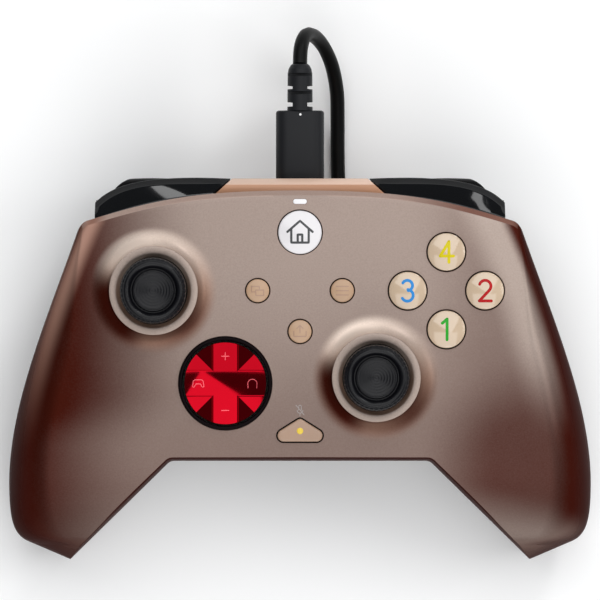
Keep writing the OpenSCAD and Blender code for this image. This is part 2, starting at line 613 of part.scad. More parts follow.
// Push buttons: a domed head in its hole, a flange under the face and a stem over its switch.
module domed(r, low, edge, rise) {
    ball = (r * r + rise * rise) / (2 * rise);
    intersection() {
        translate([0, 0, low]) cylinder(r = r, h = edge + rise - low);
        translate([0, 0, edge + rise - ball]) sphere(r = ball, $fn = 96);
    }
}
function flange_z(face) = face - wall - flange_gap - flange_t;
module flange(z, r) translate([0, 0, flange_z(z)]) cylinder(r = r, h = flange_t);
module stem(z, bottom, r) translate([0, 0, bottom]) cylinder(r = r, h = flange_z(z) - bottom + 0.5);
module action_button(k) color(CREAM) on_face(action_place(k)) {
    z = face_height(action_place(k));
    domed(action_r, flange_z(z), z + 0.9, 1.1);
    flange(z, action_r + 1);
}
module action_top() action_button(0);
module action_right() action_button(1);
module action_bottom() action_button(2);
module action_left() action_button(3);
module action_membrane() color(DARK) on_face(action_mid) {
    translate([0, 0, pcb_top]) linear_extrude(1) {
        square([2 * action_pitch, 5], center = true);
        square([5, 2 * action_pitch], center = true);
        for (k = [0:3]) translate(action_pitch * ACTIONS[k]) circle(r = 3.6);
    }
    for (k = [0:3]) translate([action_pitch * ACTIONS[k].x, action_pitch * ACTIONS[k].y, pcb_top + 0.5])
        cylinder(r1 = 3.5, r2 = 2.8,
            h = flange_z(face_height(action_place(k))) - action_throw - 0.3 - pcb_top - 0.5);
}
module small_button(p) color(TRIM) on_face(p) {
    z = face_height(p);
    domed(small_r, flange_z(z), z + 0.5, 0.5);
    flange(z, small_r + 0.9);
    stem(z, pcb_top + switch_h + small_throw + 0.2, 1.4);
}
module view_button() small_button(view);
module menu_button() small_button(menu);
module share_button() small_button(share);
module home_button() color(CREAM) on_face(home) {
    z = face_height(home);
    domed(home_r, flange_z(z), z + 0.4, 0.5);
    flange(z, home_r + 0.9);
    stem(z, lamp_board_z + 1 + switch_h + small_throw + 0.2, 1.6);
}
mute_z = face_height(mute);
module mute_button() color(TRIM) difference() {
    low = flange_z(mute_z);
    union() {
        translate([0, 0, low]) linear_extrude(mute_z + 0.9 - low) mute_plan(0);
        translate([0, 0, low]) linear_extrude(flange_t) mute_plan(button_gap + 0.5);
    }
    on_face(mute_lamp_place) translate([0, 0, mute_z - 1]) cylinder(r = mute_lamp_r + fit, h = 4);
}
module mute_lamp() color([0.9, 0.75, 0.2]) on_face(mute_lamp_place)
    translate([0, 0, mute_z - 1]) cylinder(r = mute_lamp_r, h = 2);

// Paddles on the underside
module paddle() color(DARK) at_paddle() {
    intersection() {
        translate([0, 0, -wall - 2.6]) linear_extrude(wall + 2.6 + paddle_proud)
            slot_plan(paddle_l, paddle_w);
        translate([0, 0, paddle_proud - 40]) sphere(r = 40, $fn = 96);
    }
    translate([0, 0, -wall - 2.6]) linear_extrude(1) slot_plan(paddle_l + 2, paddle_w + 2);
}
module right_paddle() paddle();
module left_paddle() mirror([1, 0, 0]) paddle();

// Rumble motors with off-centre weights
shaft_r = 1;
weight_r = 8;
module motor() color(METAL) translate(motor_at) difference() {
    rod_y(-motor_l / 2, motor_l, motor_r);
    rod_y(-motor_l / 2 - 1, 5, shaft_r + pivot_gap);
}
module motor_weight() color(DARK) translate(motor_at) {
    rod_y(-motor_l / 2 - 8, 11, shaft_r);
    difference() {
        rod_y(-motor_l / 2 - 7.5, 5, weight_r);
        translate([-weight_r - 1, -motor_l / 2 - 9, 1.8]) cube([2 * weight_r + 2, 8, weight_r]);
    }
}
module right_motor() motor();
module left_motor() mirror([1, 0, 0]) motor();
module right_weight() motor_weight();
module left_weight() mirror([1, 0, 0]) motor_weight();

// Shoulder frames, pins and springs
trigger_mid_x = half_w - 37.9;
trigger_gap = 0.6;
ear_t = 2.2;
trigger_in_x = trigger_mid_x - trigger_w / 2;
trigger_out_x = trigger_mid_x + trigger_w / 2;
module shoulder_frame() color(DARK) difference() {
    union() {
        translate([trigger_in_x - trigger_gap - ear_t, rear_wall_y, pivot_z - 7])
            cube([trigger_w + 2 * (trigger_gap + ear_t), 1.4, frame_top_z - pivot_z + 7]);
        for (x = [trigger_in_x - trigger_gap - ear_t, trigger_out_x + trigger_gap])
            translate([x, rear_wall_y, pivot_z - 3])
                cube([ear_t, pivot_y - rear_wall_y + 3, frame_top_z - pivot_z + 3]);
        translate([bumper_pin.x - 2, rear_wall_y, frame_top_z - 2])
            cube([3.6, bumper_pin.y - rear_wall_y + 2, 2]);
        on_face(bumper_pin) translate([0, 0, frame_top_z - 1]) cylinder(r = pivot_r, h = 5.4);
    }
    translate([0, pivot_y, pivot_z]) rod_x(trigger_in_x - 20, trigger_w + 40, pivot_r);
}
module right_shoulder_frame() shoulder_frame();
module left_shoulder_frame() mirror([1, 0, 0]) shoulder_frame();
module trigger_pins() color(METAL) sides() translate([0, pivot_y, pivot_z])
    rod_x(trigger_in_x - trigger_gap - ear_t, trigger_w + 2 * (trigger_gap + ear_t), pivot_r);

// Trigger: a curved skin with two cheeks that hang on the pin
trigger_pin = [pivot_y, pivot_z];
TRIGGER = [trigger_pin + [2.9, 3.6], trigger_pin + [10.3, 2.4],
           trigger_pin + [9.7, -7], trigger_pin + [8.1, -15]];
TRIGGER_LIP = [TRIGGER[3], TRIGGER[3] + [-1.2, -6], [pivot_y + 6.7, 5], [pivot_y + 9, 0]];
trigger_steps = 14;
trigger_front_y = pivot_y - 11.5;
function trigger_curve(t) = t < 0.5 ? bezier(TRIGGER, 2 * t) : bezier(TRIGGER_LIP, 2 * t - 1);
function trigger_inner(t) = let (a = trigger_curve(max(0, t - 0.02)), b = trigger_curve(min(1, t + 0.02)))
    trigger_curve(t) + trigger_skin * turned(b - a);
trigger_cheek = 3.6;
module trigger_plan(inset) {
    x0 = trigger_in_x + inset;
    x1 = trigger_out_x - inset;
    rear = pivot_y + 9.3 - inset;
    big = 9 - inset;
    small = 3 - min(inset, 2.4);
    front = trigger_front_y;
    translate([x0, front]) square([x1 - x0, rear - big - front]);
    translate([x0, front]) square([x1 - big - x0, rear - small - front]);
    translate([x0 + small, front]) square([x1 - big - x0 - small, rear - front]);
    translate([x1 - big, rear - big]) circle(r = big);
    translate([x0 + small, rear - small]) circle(r = small);
}
module side_profile(points) rotate([90, 0, 90]) linear_extrude(body_w) polygon(points);
module trigger() color(BLACK) difference() {
    intersection() {
        side_profile(concat(
            [for (k = [0:trigger_steps]) trigger_curve(k / trigger_steps)],
            [[pivot_y + 6.9, 0], [pivot_y + 4.9, 3.4], [pivot_y + 3.9, 9], trigger_pin + [-2.4, -1.5],
             trigger_pin + [-2.4, 1.5], trigger_pin + [-0.5, 3], trigger_pin + [2.1, 3.4]]));
        linear_extrude(face_z) trigger_plan(0);
    }
    intersection() {
        side_profile(concat(
            [for (k = [0:trigger_steps - 3]) trigger_inner(k / trigger_steps)],
            [[trigger_front_y, 4], [trigger_front_y, pivot_z + 9], trigger_pin + [1.9, 9]]));
        linear_extrude(face_z) trigger_plan(1.9);
        translate([trigger_in_x + trigger_cheek, 0, -1])
            cube([trigger_w - 2 * trigger_cheek, body_w, body_w]);
    }
    translate([0, pivot_y, pivot_z]) rod_x(trigger_in_x - 5, trigger_w + 10, pivot_r + pivot_gap);
}
module right_trigger() trigger();
module left_trigger() mirror([1, 0, 0]) trigger();

// A tube swept along points: rings of even sides square to the path, with given directions at its ends.
function tangents(p, first, last) = let (n = len(p))
    [for (k = [0:n - 1]) k == 0 ? first : k == n - 1 ? last : unit(p[k + 1] - p[k - 1])];
module tube(p, r, n, up, first, last_way) {
    t = tangents(p, first, last_way);
    rings = [for (k = [0:len(p) - 1]) let (a = unit(cross(t[k], up)), b = cross(a, t[k]))
        for (s = [0:n - 1]) p[k] + r * (a * cos(360 * (s + 0.5) / n) + b * sin(360 * (s + 0.5) / n))];
    last = (len(p) - 1) * n;
    polyhedron(points = rings, faces = concat(
        [[for (s = [n - 1:-1:0]) s]], [[for (s = [0:n - 1]) last + s]],
        [for (k = [0:len(p) - 2]) for (s = [0:n - 1]) let (m = (s + 1) % n)
            each [[k * n + s, k * n + m, (k + 1) * n + m], [k * n + s, (k + 1) * n + m, (k + 1) * n + s]]]));
}
function arc_length(p) = let (d = [for (k = [1:len(p) - 1]) norm(p[k] - p[k - 1])]) d * [for (x = d) 1];
// A smooth path through points, with a number of steps between each pair.
function spline(p, steps) = let (n = len(p)) concat(
    [for (k = [0:n - 2]) for (j = [0:steps - 1]) let (t = j / steps,
        a = p[max(k - 1, 0)], b = p[k], c = p[k + 1], d = p[min(k + 2, n - 1)])
        0.5 * (2 * b + (c - a) * t + (2 * a - 5 * b + 4 * c - d) * t * t
            + (3 * b - a - 3 * c + d) * t * t * t)],
    [p[n - 1]]);

spring_wire_r = 0.4;
spring_r = 2.2;
function spring_point(k) = [trigger_mid_x - 3 + k / 8,
    pivot_y + spring_r * cos(k * 40), pivot_z + spring_r * sin(k * 40)];
module trigger_spring() color(METAL) tube(
    concat([for (k = [0:48]) spring_point(k)],
        [[trigger_mid_x + 3, pivot_y - 2.6, spring_point(48).z - 0.6]]),
    spring_wire_r, 6, [1, 0, 0], [0, 0, 1], [0, -1, 0]);
module right_trigger_spring() trigger_spring();
module left_trigger_spring() mirror([1, 0, 0]) trigger_spring();

// Bumper: a faceted bar that runs along the rear rim, lofted between its two ends
bumper_gap = 0.4;
bumper_steps = 10;
bumper_in_front = bridge_half_w + 0.5;
bumper_in_rear = bridge_rear_half_w + 0.5;
bumper_out_x = shoulder.x - 1.9;
BUMPER_REAR = [[bumper_in_rear, bridge_rear_y], [shoulder.x - 15.8, bridge_rear_y + 1],
               [shoulder.x - 6.8, rim_y + 2], [bumper_out_x, rim_y - 3.1]];
// The share of the rim's curve at which it reaches a sideways place, found by halving.
function rim_share(x, low, high, tries) = let (m = (low + high) / 2)
    tries == 0 ? m :
    bezier(RIM, m).x < x ? rim_share(x, m, high, tries - 1) : rim_share(x, low, m, tries - 1);
rim_from = rim_share(bumper_in_front, 0, 1, 16);
rim_to = rim_share(bumper_out_x, 0, 1, 16);
function bumper_section(q) = let (
    rim = bezier(RIM, mix(rim_from, rim_to, q)),
    rear = bezier(BUMPER_REAR, q),
    tuck = mix(7.5, 1.2, ease(q)),
    ridge = rear + 1.6 * unit(rim - rear),
    top = rim_seam_z - bumper_gap)
    [[rim.x, rim.y - tuck, bumper_low_z], [rim.x, rim.y - tuck, top], [rim.x, rim.y + 0.1, top],
     [ridge.x, ridge.y, top - 2.6], [rear.x, rear.y, top - 5], [rear.x, rear.y, bumper_low_z],
     [rim.x, rim.y + 0.1, bumper_low_z]];
module bumper() color(BLACK) difference() {
    rings = [for (k = [0:bumper_steps]) each bumper_section(k / bumper_steps)];
    n = 7;
    last = bumper_steps * n;
    polyhedron(points = rings, faces = concat(
        [[for (s = [n - 1:-1:0]) s]], [[for (s = [0:n - 1]) last + s]],
        [for (k = [0:bumper_steps - 1]) for (s = [0:n - 1]) let (m = (s + 1) % n)
            each [[k * n + s, k * n + m, (k + 1) * n + m], [k * n + s, (k + 1) * n + m, (k + 1) * n + s]]]));
    on_face(bumper_pin) translate([0, 0, bumper_low_z - 1]) cylinder(r = pivot_r + pivot_gap, h = 5.8);
}
module right_bumper() bumper();
module left_bumper() mirror([1, 0, 0]) bumper();

// Case screws
module case_screws() color(METAL) sides() for (s = SCREWS) on_face(s[0]) {
    translate([0, 0, s[1] - screw_seat - screw_head_h]) cylinder(r = screw_head_r, h = screw_head_h);
    translate([0, 0, s[1] - screw_seat - 0.1]) cylinder(r = screw_r, h = screw_seat + screw_bite);
}

// Lead: plug, strain relief, free stretch, coil with its tie, tail and the far plug
plug_front_y = 38.5;
plug_end_y = 68.2;
relief_end_y = 80.5;
relief_r = 3.4;
module usb_c_plug() color(DARK)
    along_y(plug_front_y, plug_end_y - plug_front_y, port_z) slot_plan(plug_w, plug_t);
module usb_c_tongue() color(METAL) along_y(31.5, plug_front_y - 31.5, port_z)
    slot_plan(port_w - 2 * port_wall - 0.1, port_h - 2 * port_wall - 0.16);
module plug_relief() color(DARK) translate([0, plug_end_y, port_z]) rotate([-90, 0, 0])
    rotate_extrude() polygon([
        [0, 0], [relief_r, 0], [relief_r, 1.2], [2, 1.4], [2, 2.2], [relief_r, 2.4], [relief_r, 4.6],
        [2, 4.8], [2, 5.4], [relief_r - 0.1, 5.6], [relief_r - 0.1, 7.6], [2, 7.8], [2, 8.4],
        [relief_r - 0.2, 8.6], [relief_r - 0.2, 10.4], [relief_r - 0.8, 11.7],
        [cord_d / 2 + 0.1, relief_end_y - plug_end_y], [0, relief_end_y - plug_end_y]]);

coil_mid = [-14, 9.5];
coil_in_r = 13.9;
coil_out_r = coil_in_r + coil_turns * coil_pitch;
tie_t = 0.8;
coil_low_z = tie_t + cord_d / 2 + 0.2;
layer_count = 4;
function coil_radius(n) = let (w = n % (2 * coil_turns))
    coil_out_r - coil_pitch * (w <= coil_turns ? w : 2 * coil_turns - w);
function coil_height(n) = coil_low_z + coil_pitch * (
    let (k = floor(n / coil_turns + 0.5)) k < 1 ? 0 : k > layer_count - 1 ? layer_count - 1 :
    k - 1 + ease((n - k * coil_turns + 0.25) / 0.5));
function coil_point(n) = let (r = coil_radius(n))
    [coil_mid.x + r * cos(360 * n), coil_mid.y - r * sin(360 * n), coil_height(n)];
coil_start = [coil_mid.x + coil_out_r, coil_mid.y + cord_d, coil_low_z];
coil_end = [coil_mid.x + coil_out_r, coil_mid.y - cord_d, coil_low_z + (layer_count - 1) * coil_pitch];
coil_steps = 24;
coil_path = concat([coil_start],
    [for (k = [0:layer_count * coil_turns * coil_steps]) coil_point(k / coil_steps)], [coil_end]);
lead_path = spline([
    [0, relief_end_y, port_z], [0.2, 84.5, port_z - 1.1], [1, 87.4, port_z - 4], [2.4, 88.5, port_z - 8],
    [4.4, 87.6, 18.5], [6.6, 84.8, 14.2], [8.6, 80, 10.2], [9.8, 73.5, 6.8], [10, 66, 4.4],
    [10, 58, 2.9], [10.2, 50, 2.2], [11, 40, 2], coil_start + [-3.4, 16, -0.6],
    coil_start + [-0.7, 7, -0.1], coil_start], 3);
far_start = [33, 0, 4];
tail_path = spline([
    coil_end, coil_end + [0.2, -6, -0.7], coil_end + [1.6, -12, -2.7], coil_end + [5, -16.5, -5.3],
    [26.6, -12.6, 8], [30.8, -9.8, 5.8], [32.7, -5, 4.5], far_start], 3);
module cord_lead() color(BLACK) tube(lead_path, cord_d / 2, 8, [1, 0, 0], [0, 1, 0], [0, -1, 0]);
module cord_tail() color(BLACK) tube(tail_path, cord_d / 2, 8, [0, 0, 1], [0, -1, 0], [0, 1, 0]);
module cord_coil() color(BLACK) {
    n = len(coil_path);
    skip = floor(coil_steps * 0.5);
    echo(least_gap_in_coil = min([for (k = [0:n - 1 - skip]) for (m = [k + skip:1:n - 1])
        norm(coil_path[k] - coil_path[m])]) - cord_d);
    echo(length_of_lead = arc_length(lead_path) + arc_length(coil_path) + arc_length(tail_path));
    tube(coil_path, cord_d / 2, 6, [0, 0, 1], [0, -1, 0], [0, -1, 0]);
}
module coil_tie() color(TRIM) {
    from = coil_in_r - cord_d / 2 - 0.4;
    span = coil_out_r - coil_in_r + cord_d + 0.8;
    high = (layer_count - 1) * coil_pitch + cord_d + 0.4;
    translate([coil_mid.x - from - span - tie_t, coil_mid.y - 4, 0]) difference() {
        cube([span + 2 * tie_t, 8, high + 2 * tie_t]);
        translate([tie_t, -1, tie_t]) cube([span, 10, high]);
    }
}
far_w = 15.6;
far_t = 7.8;
far_relief = 7;
far_l = 16.5;
module usb_a_plug() color(DARK) translate([far_start.x, 0, 0]) {
    along_y(far_start.y + far_relief, far_l, far_start.z) slot_plan(far_w, far_t);
    translate([0, far_start.y, far_start.z]) rotate([-90, 0, 0])
        cylinder(r1 = cord_d / 2 + 0.3, r2 = far_t / 2 - 0.4, h = far_relief + 0.5);
}
module usb_a_shell() color(METAL)
    translate([far_start.x, far_start.y + far_relief + far_l, far_start.z]) difference() {
        translate([-6, 0, -2.25]) cube([12, 12, 4.5]);
        translate([-5.7, 1, -0.1]) cube([11.4, 20, 2.05]);
    }

front_shell();
back_shell();
top_bridge();
usb_port();
main_pcb();
lamp_board();
audio_jack();
lamp_window();
left_stick_socket();
left_stick_gimbal();
left_stick_rocker();
left_stick_stem();
left_stick_cap();
right_stick_socket();
right_stick_gimbal();
right_stick_rocker();
right_stick_stem();
right_stick_cap();
dpad_bezel();
dpad_membrane();
dpad_fulcrum();
dpad_rocker();
dpad_cap();
action_top();
action_right();
action_bottom();
action_left();
action_membrane();
view_button();
menu_button();
share_button();
home_button();
mute_button();
mute_lamp();
left_paddle();
right_paddle();
left_motor();
right_motor();
left_weight();
right_weight();
left_shoulder_frame();
right_shoulder_frame();
trigger_pins();
left_trigger();
right_trigger();
left_trigger_spring();
right_trigger_spring();
left_bumper();
right_bumper();
case_screws();
usb_c_plug();
usb_c_tongue();
plug_relief();
cord_lead();
cord_coil();
coil_tie();
cord_tail();
usb_a_plug();
usb_a_shell();
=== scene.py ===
import math

import bmesh
import bpy
import numpy as np
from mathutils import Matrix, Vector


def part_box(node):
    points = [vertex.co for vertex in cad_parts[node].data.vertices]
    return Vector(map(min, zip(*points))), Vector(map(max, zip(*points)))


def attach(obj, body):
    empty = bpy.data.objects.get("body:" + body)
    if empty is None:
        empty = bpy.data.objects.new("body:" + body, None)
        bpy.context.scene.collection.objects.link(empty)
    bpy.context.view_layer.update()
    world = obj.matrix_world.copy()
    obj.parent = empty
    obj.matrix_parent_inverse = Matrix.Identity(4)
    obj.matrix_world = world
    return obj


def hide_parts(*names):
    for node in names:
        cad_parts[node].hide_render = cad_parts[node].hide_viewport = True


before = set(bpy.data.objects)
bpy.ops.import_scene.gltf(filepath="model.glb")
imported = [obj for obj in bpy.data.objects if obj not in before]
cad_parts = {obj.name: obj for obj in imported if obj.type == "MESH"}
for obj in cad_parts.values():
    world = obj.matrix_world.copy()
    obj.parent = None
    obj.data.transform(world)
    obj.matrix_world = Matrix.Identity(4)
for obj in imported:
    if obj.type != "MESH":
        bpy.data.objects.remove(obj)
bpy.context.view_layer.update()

# Table, light and camera
# The gamepad lies face up on a pale table, under two large soft boxes and between five smaller ones. The
# camera hangs straight above the face, so far away that it sees almost no perspective. Lengths are in
# millimetres until a mesh is made, apart from those of the table and the lamps.
MM = 0.001
photo_width, photo_z = 157.5, 45
aim = np.array([0, 18.25])
camera_height = 3000
sensor_width = 36


class Wire:
    """A shader socket. Sums of wires and numbers add Math nodes, and node() adds any other node."""

    def __init__(self, tree, socket=None):
        self.tree, self.socket = tree, socket

    def node(self, kind, inputs=(), output=0, **settings):
        made = self.tree.nodes.new("ShaderNode" + kind)
        for name, value in settings.items():
            setattr(made, name, value)
        for key, value in dict(inputs).items():
            if isinstance(value, Wire):
                self.tree.links.new(value.socket, made.inputs[key])
            else:
                made.inputs[key].default_value = value
        return Wire(self.tree, made.outputs[output])

    def math(self, operation, *values):
        return self.node("Math", enumerate(values), operation=operation)

    def tint(self, low, high):
        """A colour between two, by this wire."""
        return self.node("Mix", {0: self, 6: low, 7: high}, output=2, data_type="RGBA")

    def __add__(self, other):
        return self.math("ADD", self, other)

    def __sub__(self, other):
        return self.math("SUBTRACT", self, other)

    def __rsub__(self, other):
        return self.math("SUBTRACT", other, self)

    def __mul__(self, other):
        return self.math("MULTIPLY", self, other)

    def __truediv__(self, other):
        return self.math("DIVIDE", self, other)

    def __pow__(self, other):
        return self.math("POWER", self, other)

    def __abs__(self):
        return self.math("ABSOLUTE", self)

    def parts(self):
        """The three numbers of a vector."""
        return [self.node("SeparateXYZ", {0: self}, output=k) for k in range(3)]

    def step(self, low, high):
        """A smooth step of this wire from 0 at low to 1 at high."""
        return self.node("MapRange", {0: self, 1: low, 2: high}, interpolation_type="SMOOTHSTEP")

    def noise(self, scale, detail):
        """A noise on Object coordinates."""
        place = self.node("TexCoord", output="Object")
        return self.node("TexNoise", {"Vector": place, "Scale": scale, "Detail": detail})

    def bump(self, height, strength, depth):
        """A normal that a height bends, with a depth in millimetres."""
        return self.node("Bump", {"Height": height, "Strength": strength, "Distance": depth * MM})

    __radd__ = __add__
    __rmul__ = __mul__


def srgb(red, green, blue):
    """A colour as it is seen, 0 to 255, turned into the shader's linear values."""
    seen = np.array([red, green, blue]) / 255
    return (*np.where(seen < 0.04045, seen / 12.92, ((seen + 0.055) / 1.055) ** 2.4), 1.0)


def new_finish(name):
    """An empty material: the material, and a wire that its nodes are added with."""
    material = bpy.data.materials.new(name)
    material.use_nodes = True
    return material, Wire(material.node_tree)


def shade(wire, values):
    """Sets the sockets of a material's shader to plain values or wires."""
    shader = wire.tree.nodes["Principled BSDF"]
    for key, value in values.items():
        if isinstance(value, Wire):
            wire.tree.links.new(value.socket, shader.inputs[key])
        else:
            shader.inputs[key].default_value = value


def moulded(name, colour, roughness, grain=2500, depth=0.02, **sockets):
    """Moulded plastic or plated metal: one colour with faint cloudiness and a fine grain.
    Two noises on Object coordinates shift the colour and roughness a little and raise the grain."""
    material, wire = new_finish(name)
    cloud, fine = wire.noise(120.0, 3.0), wire.noise(float(grain), 2.0)
    darker = tuple(0.88 * c for c in colour[:3]) + (1.0,)
    shade(wire, {
        "Base Color": cloud.tint(darker, colour),
        "Roughness": roughness + 0.12 * (cloud - 0.5),
        "Normal": wire.bump(fine, 0.3, depth),
        **{key.replace("_", " "): value for key, value in sockets.items()}})
    return material


def put(name, data):
    """A new object in the scene."""
    made = bpy.data.objects.new(name, data)
    bpy.context.scene.collection.objects.link(made)
    return made


table_material, table_wire = new_finish("pale_table")
table_cloud = table_wire.noise(6.0, 2.0)
shade(table_wire, {
    "Base Color": table_cloud.tint(srgb(246, 246, 246), srgb(249, 249, 249)),
    "Roughness": 0.8, "Specular IOR Level": 0.1})
table_half, table_z = 12.0, -0.0003
table_mesh = bpy.data.meshes.new("table")
table_mesh.from_pydata(
    [(x * table_half, y * table_half, table_z) for x, y in [(-1, -1), (1, -1), (1, 1), (-1, 1)]],
    [], [(0, 1, 2, 3)])
table_mesh.materials.append(table_material)
table = put("table", table_mesh)


def soft_box(name, place, target, size, glow, turn=0):
    """A rectangular lamp at place that faces target, turned on its own axis. Its energy is its glow times pi
    times its area."""
    lamp = bpy.data.lights.new(name, "AREA")
    lamp.shape = "RECTANGLE"
    lamp.size, lamp.size_y = size
    lamp.energy = glow * math.pi * size[0] * size[1]
    lamp_object = put(name, lamp)
    away = np.array(place, float) - np.array(target, float)
    lamp_object.location = place
    tilt = math.atan2(math.hypot(away[0], away[1]), away[2])
    lamp_object.rotation_euler = (tilt, 0, math.atan2(away[0], -away[1]) + math.radians(turn))


soft_box("rear_top", (0.07, 0.85, 1.5), (0.07, 0.85, 0), (1.7, 1.5), 2.2, turn=-33)
soft_box("front_top", (0, -0.85, 1.5), (0, -0.85, 0), (1.8, 1.3), 1.7)
soft_box("rear_box", (0.75, 1.2, 0.8), (0, 0, 0.04), (0.3, 0.35), 12.0)
soft_box("left_box", (-0.18, 1.65, 0.84), (-0.03, 0.04, 0.04), (0.22, 0.4), 6.0)
soft_box("right_rear_box", (0.64, 1.62, 0.86), (0.047, 0.047, 0.04), (0.14, 0.3), 5.5)
soft_box("right_box", (1.35, 0.15, 1.0), (0, 0, 0.04), (0.9, 0.5), 4.0)
soft_box("front_box", (0.1, -1.3, 0.9), (0, 0, 0.03), (1.3, 0.7), 2.4)
world = bpy.data.worlds.new("room")
world.use_nodes = True
world.node_tree.nodes["Background"].inputs["Color"].default_value = (0.9, 0.95, 1.0, 1.0)
world.node_tree.nodes["Background"].inputs["Strength"].default_value = 0.16
bpy.context.scene.world = world
bpy.context.scene.view_settings.view_transform = "Standard"

camera_data = bpy.data.cameras.new("camera")
camera_data.sensor_width = sensor_width
camera_data.lens = sensor_width * (camera_height - photo_z) / photo_width
camera_data.clip_start, camera_data.clip_end = 0.1, 20.0
camera = put("camera", camera_data)
camera.location = (aim[0] * MM, aim[1] * MM, camera_height * MM)
bpy.context.scene.camera = camera


# Front shell
# The upper half of the case is one thin moulding with a horn-shaped collar around each stick and an
# opening for every button. It is sprayed with a satin red-brown paint whose base colour carries painted light
# and shade, and is held by four screws from below. A fine groove runs along the seam with the back shell.
half_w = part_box("front_shell")[1].x / MM
wall = 2
face_z, belly_z = 48, 21
rim_y, rear_wall_y = 47, 37
rear_crown_y, droop_start_y = 20, -10
side_crown, rear_crown, grip_droop = 4, 1, 20
side_round, rim_chamfer, notch_round = 12, 1.3, 1.2
groove_depth, groove_half = 0.3, 0.22
shoulder = np.array([half_w - 21.2, 39.1])
side_top = shoulder + [2.7, -2.8]
heel = np.array([half_w - 5, -45.7])
tip = np.array([half_w - 16.1, -50.5])
bulge_y = -30.7
notch_x, notch_y, notch_corner = 33, -24.2, 2.6
slope_start = np.array([notch_x + notch_corner, notch_y - 0.54 * notch_corner])
rim_seam_z, notch_seam_z, tip_seam_z = face_z - 5, belly_z + 5, 13
rim_end, shoulder_end, side_end, heel_end, tip_end = 10, 12, 21, 25, 28
rear_corner = np.array([shoulder[0] - 2, rear_wall_y])
rim_curve = np.array([[0, rim_y], [shoulder[0] / 2, rim_y], [shoulder[0] - 17.8, rim_y - 2.5], shoulder])
shoulder_curve = np.array([shoulder, shoulder + [1.3, -0.4], side_top + [-0.5, 1.2], side_top])
side_curve = np.array([side_top, side_top + [8.6, -24], [half_w, bulge_y + 20.8], [half_w, bulge_y]])
heel_curve = np.array([[half_w, bulge_y], [half_w, bulge_y - 9.3], [half_w - 1, heel[1] + 1.7], heel])
rear_curve = np.linspace([0, rear_wall_y], rear_corner, 4)
rear_end_curve = np.array([rear_corner, rear_corner + [1.5, 0], side_top + [-1.5, 0.2], side_top])
corner_curve = np.array([
    [notch_x, notch_y], [notch_x + notch_corner / 2, notch_y],
    [notch_x + 0.7 * notch_corner, notch_y - 0.25 * notch_corner], slope_start])
stick_places = {"left": np.array([38.6 - half_w, 20.7]), "right": np.array([20, -2.1])}
stick_hole_r, stick_lip_r, collar_r, lip_rise = 9.8, 11.6, 16.4, 4
dpad_place, dpad_hole_r = np.array([-19.6, -3.6]), 12.3
action_mid = np.array([half_w - 38.6, 20.7])
action_ways = {"top": (0, 1), "right": (1, 0), "bottom": (0, -1), "left": (-1, 0)}
action_places = {side: action_mid + 10.15 * np.array(way) for side, way in action_ways.items()}
action_r, home_r, small_r, button_gap = 4.92, 5.7, 3.03, 0.38
home_place = np.array([0, rim_y - 11])
small_places = {"view": np.array([-11.1, 20.7]), "menu": np.array([11.1, 20.7]), "share": np.array([0, 10])}
mute_place = np.array([0, notch_y + 6.9])
lamp_place = np.array([0, rim_y - 2.9])
lamp_w, lamp_h, lamp_gap = 3.6, 1.3, 0.05
jack_z, jack_r = 37.2, 3.05
through_face = (30, 60)


def ease(t):
    """A step from 0 to 1 with level ends: t squared times 3 minus 2 t."""
    q = np.clip(t, 0, 1)
    return q * q * (3 - 2 * q)


def bend(p, t):
    """A cubic curve by four control points: weights of 1, 3, 3 and 1 times the powers of t and 1 - t."""
    s = 1 - t
    return np.stack([s ** 3, 3 * s * s * t, 3 * s * t * t, t ** 3], -1) @ np.asarray(p, float)


def along(curves, ends, i):
    """Points at stations i on curves that follow each other and end at the given stations."""
    starts = [0, *ends[:-1]]
    lines = [bend(p, np.clip((i - a) / (b - a), 0, 1)) for p, a, b in zip(curves, starts, ends)]
    return np.select([(i <= b)[:, None] for b in ends], lines, lines[-1])


def mirrored(p, i):
    """Points or steps of the right half, whose x changes its sign where the station is negative."""
    return p * np.stack([np.where(i < 0, -1, 1), np.ones(len(i))], 1)


def outer_edge(i, back):
    """The outer edge of the case at stations i, negative on the left: rim, shoulder, side, heel and tip."""
    first = [rear_curve, rear_end_curve] if back else [rim_curve, shoulder_curve]
    ends = [rim_end, shoulder_end, side_end, heel_end, tip_end]
    p = along([*first, side_curve, heel_curve, np.linspace(heel, tip, 4)], ends, np.abs(i))
    return mirrored(p, i)


def inner_edge(i):
    """The inner edge at stations i: the straight notch, its corner and the slope to the tip."""
    notch, slope = np.linspace([0, notch_y], [notch_x, notch_y], 4), np.linspace(slope_start, tip, 4)
    return mirrored(along([notch, corner_curve, slope], [rim_end, shoulder_end, tip_end], np.abs(i)), i)


def inward(edge, i, turn):
    """Unit steps into the case: the chord of an edge around each station, turned by a right angle."""
    h = np.minimum(np.abs(i), tip_end - 0.3)
    first = np.where(h < shoulder_end, 0, shoulder_end) if turn > 0 else 0
    chord = edge(h + 0.3) - edge(np.maximum(h - 0.3, first))
    step = turn * np.stack([chord[:, 1], -chord[:, 0]], 1) / np.linalg.norm(chord, axis=1, keepdims=True)
    return mirrored(step, i)


def face_height(x, y):
    """Height of the face: it falls by the square of the way to the sides, to the rim and to the grips."""
    return (face_z - side_crown * (x / half_w) ** 2
            - rear_crown * (np.maximum(0, y - rear_crown_y) / (rim_y - rear_crown_y)) ** 2
            - grip_droop * (np.maximum(0, droop_start_y - y) / (droop_start_y - tip[1])) ** 2)


def between(a, b, t):
    """A value at the share t of the way from a to b."""
    return a + (b - a) * t


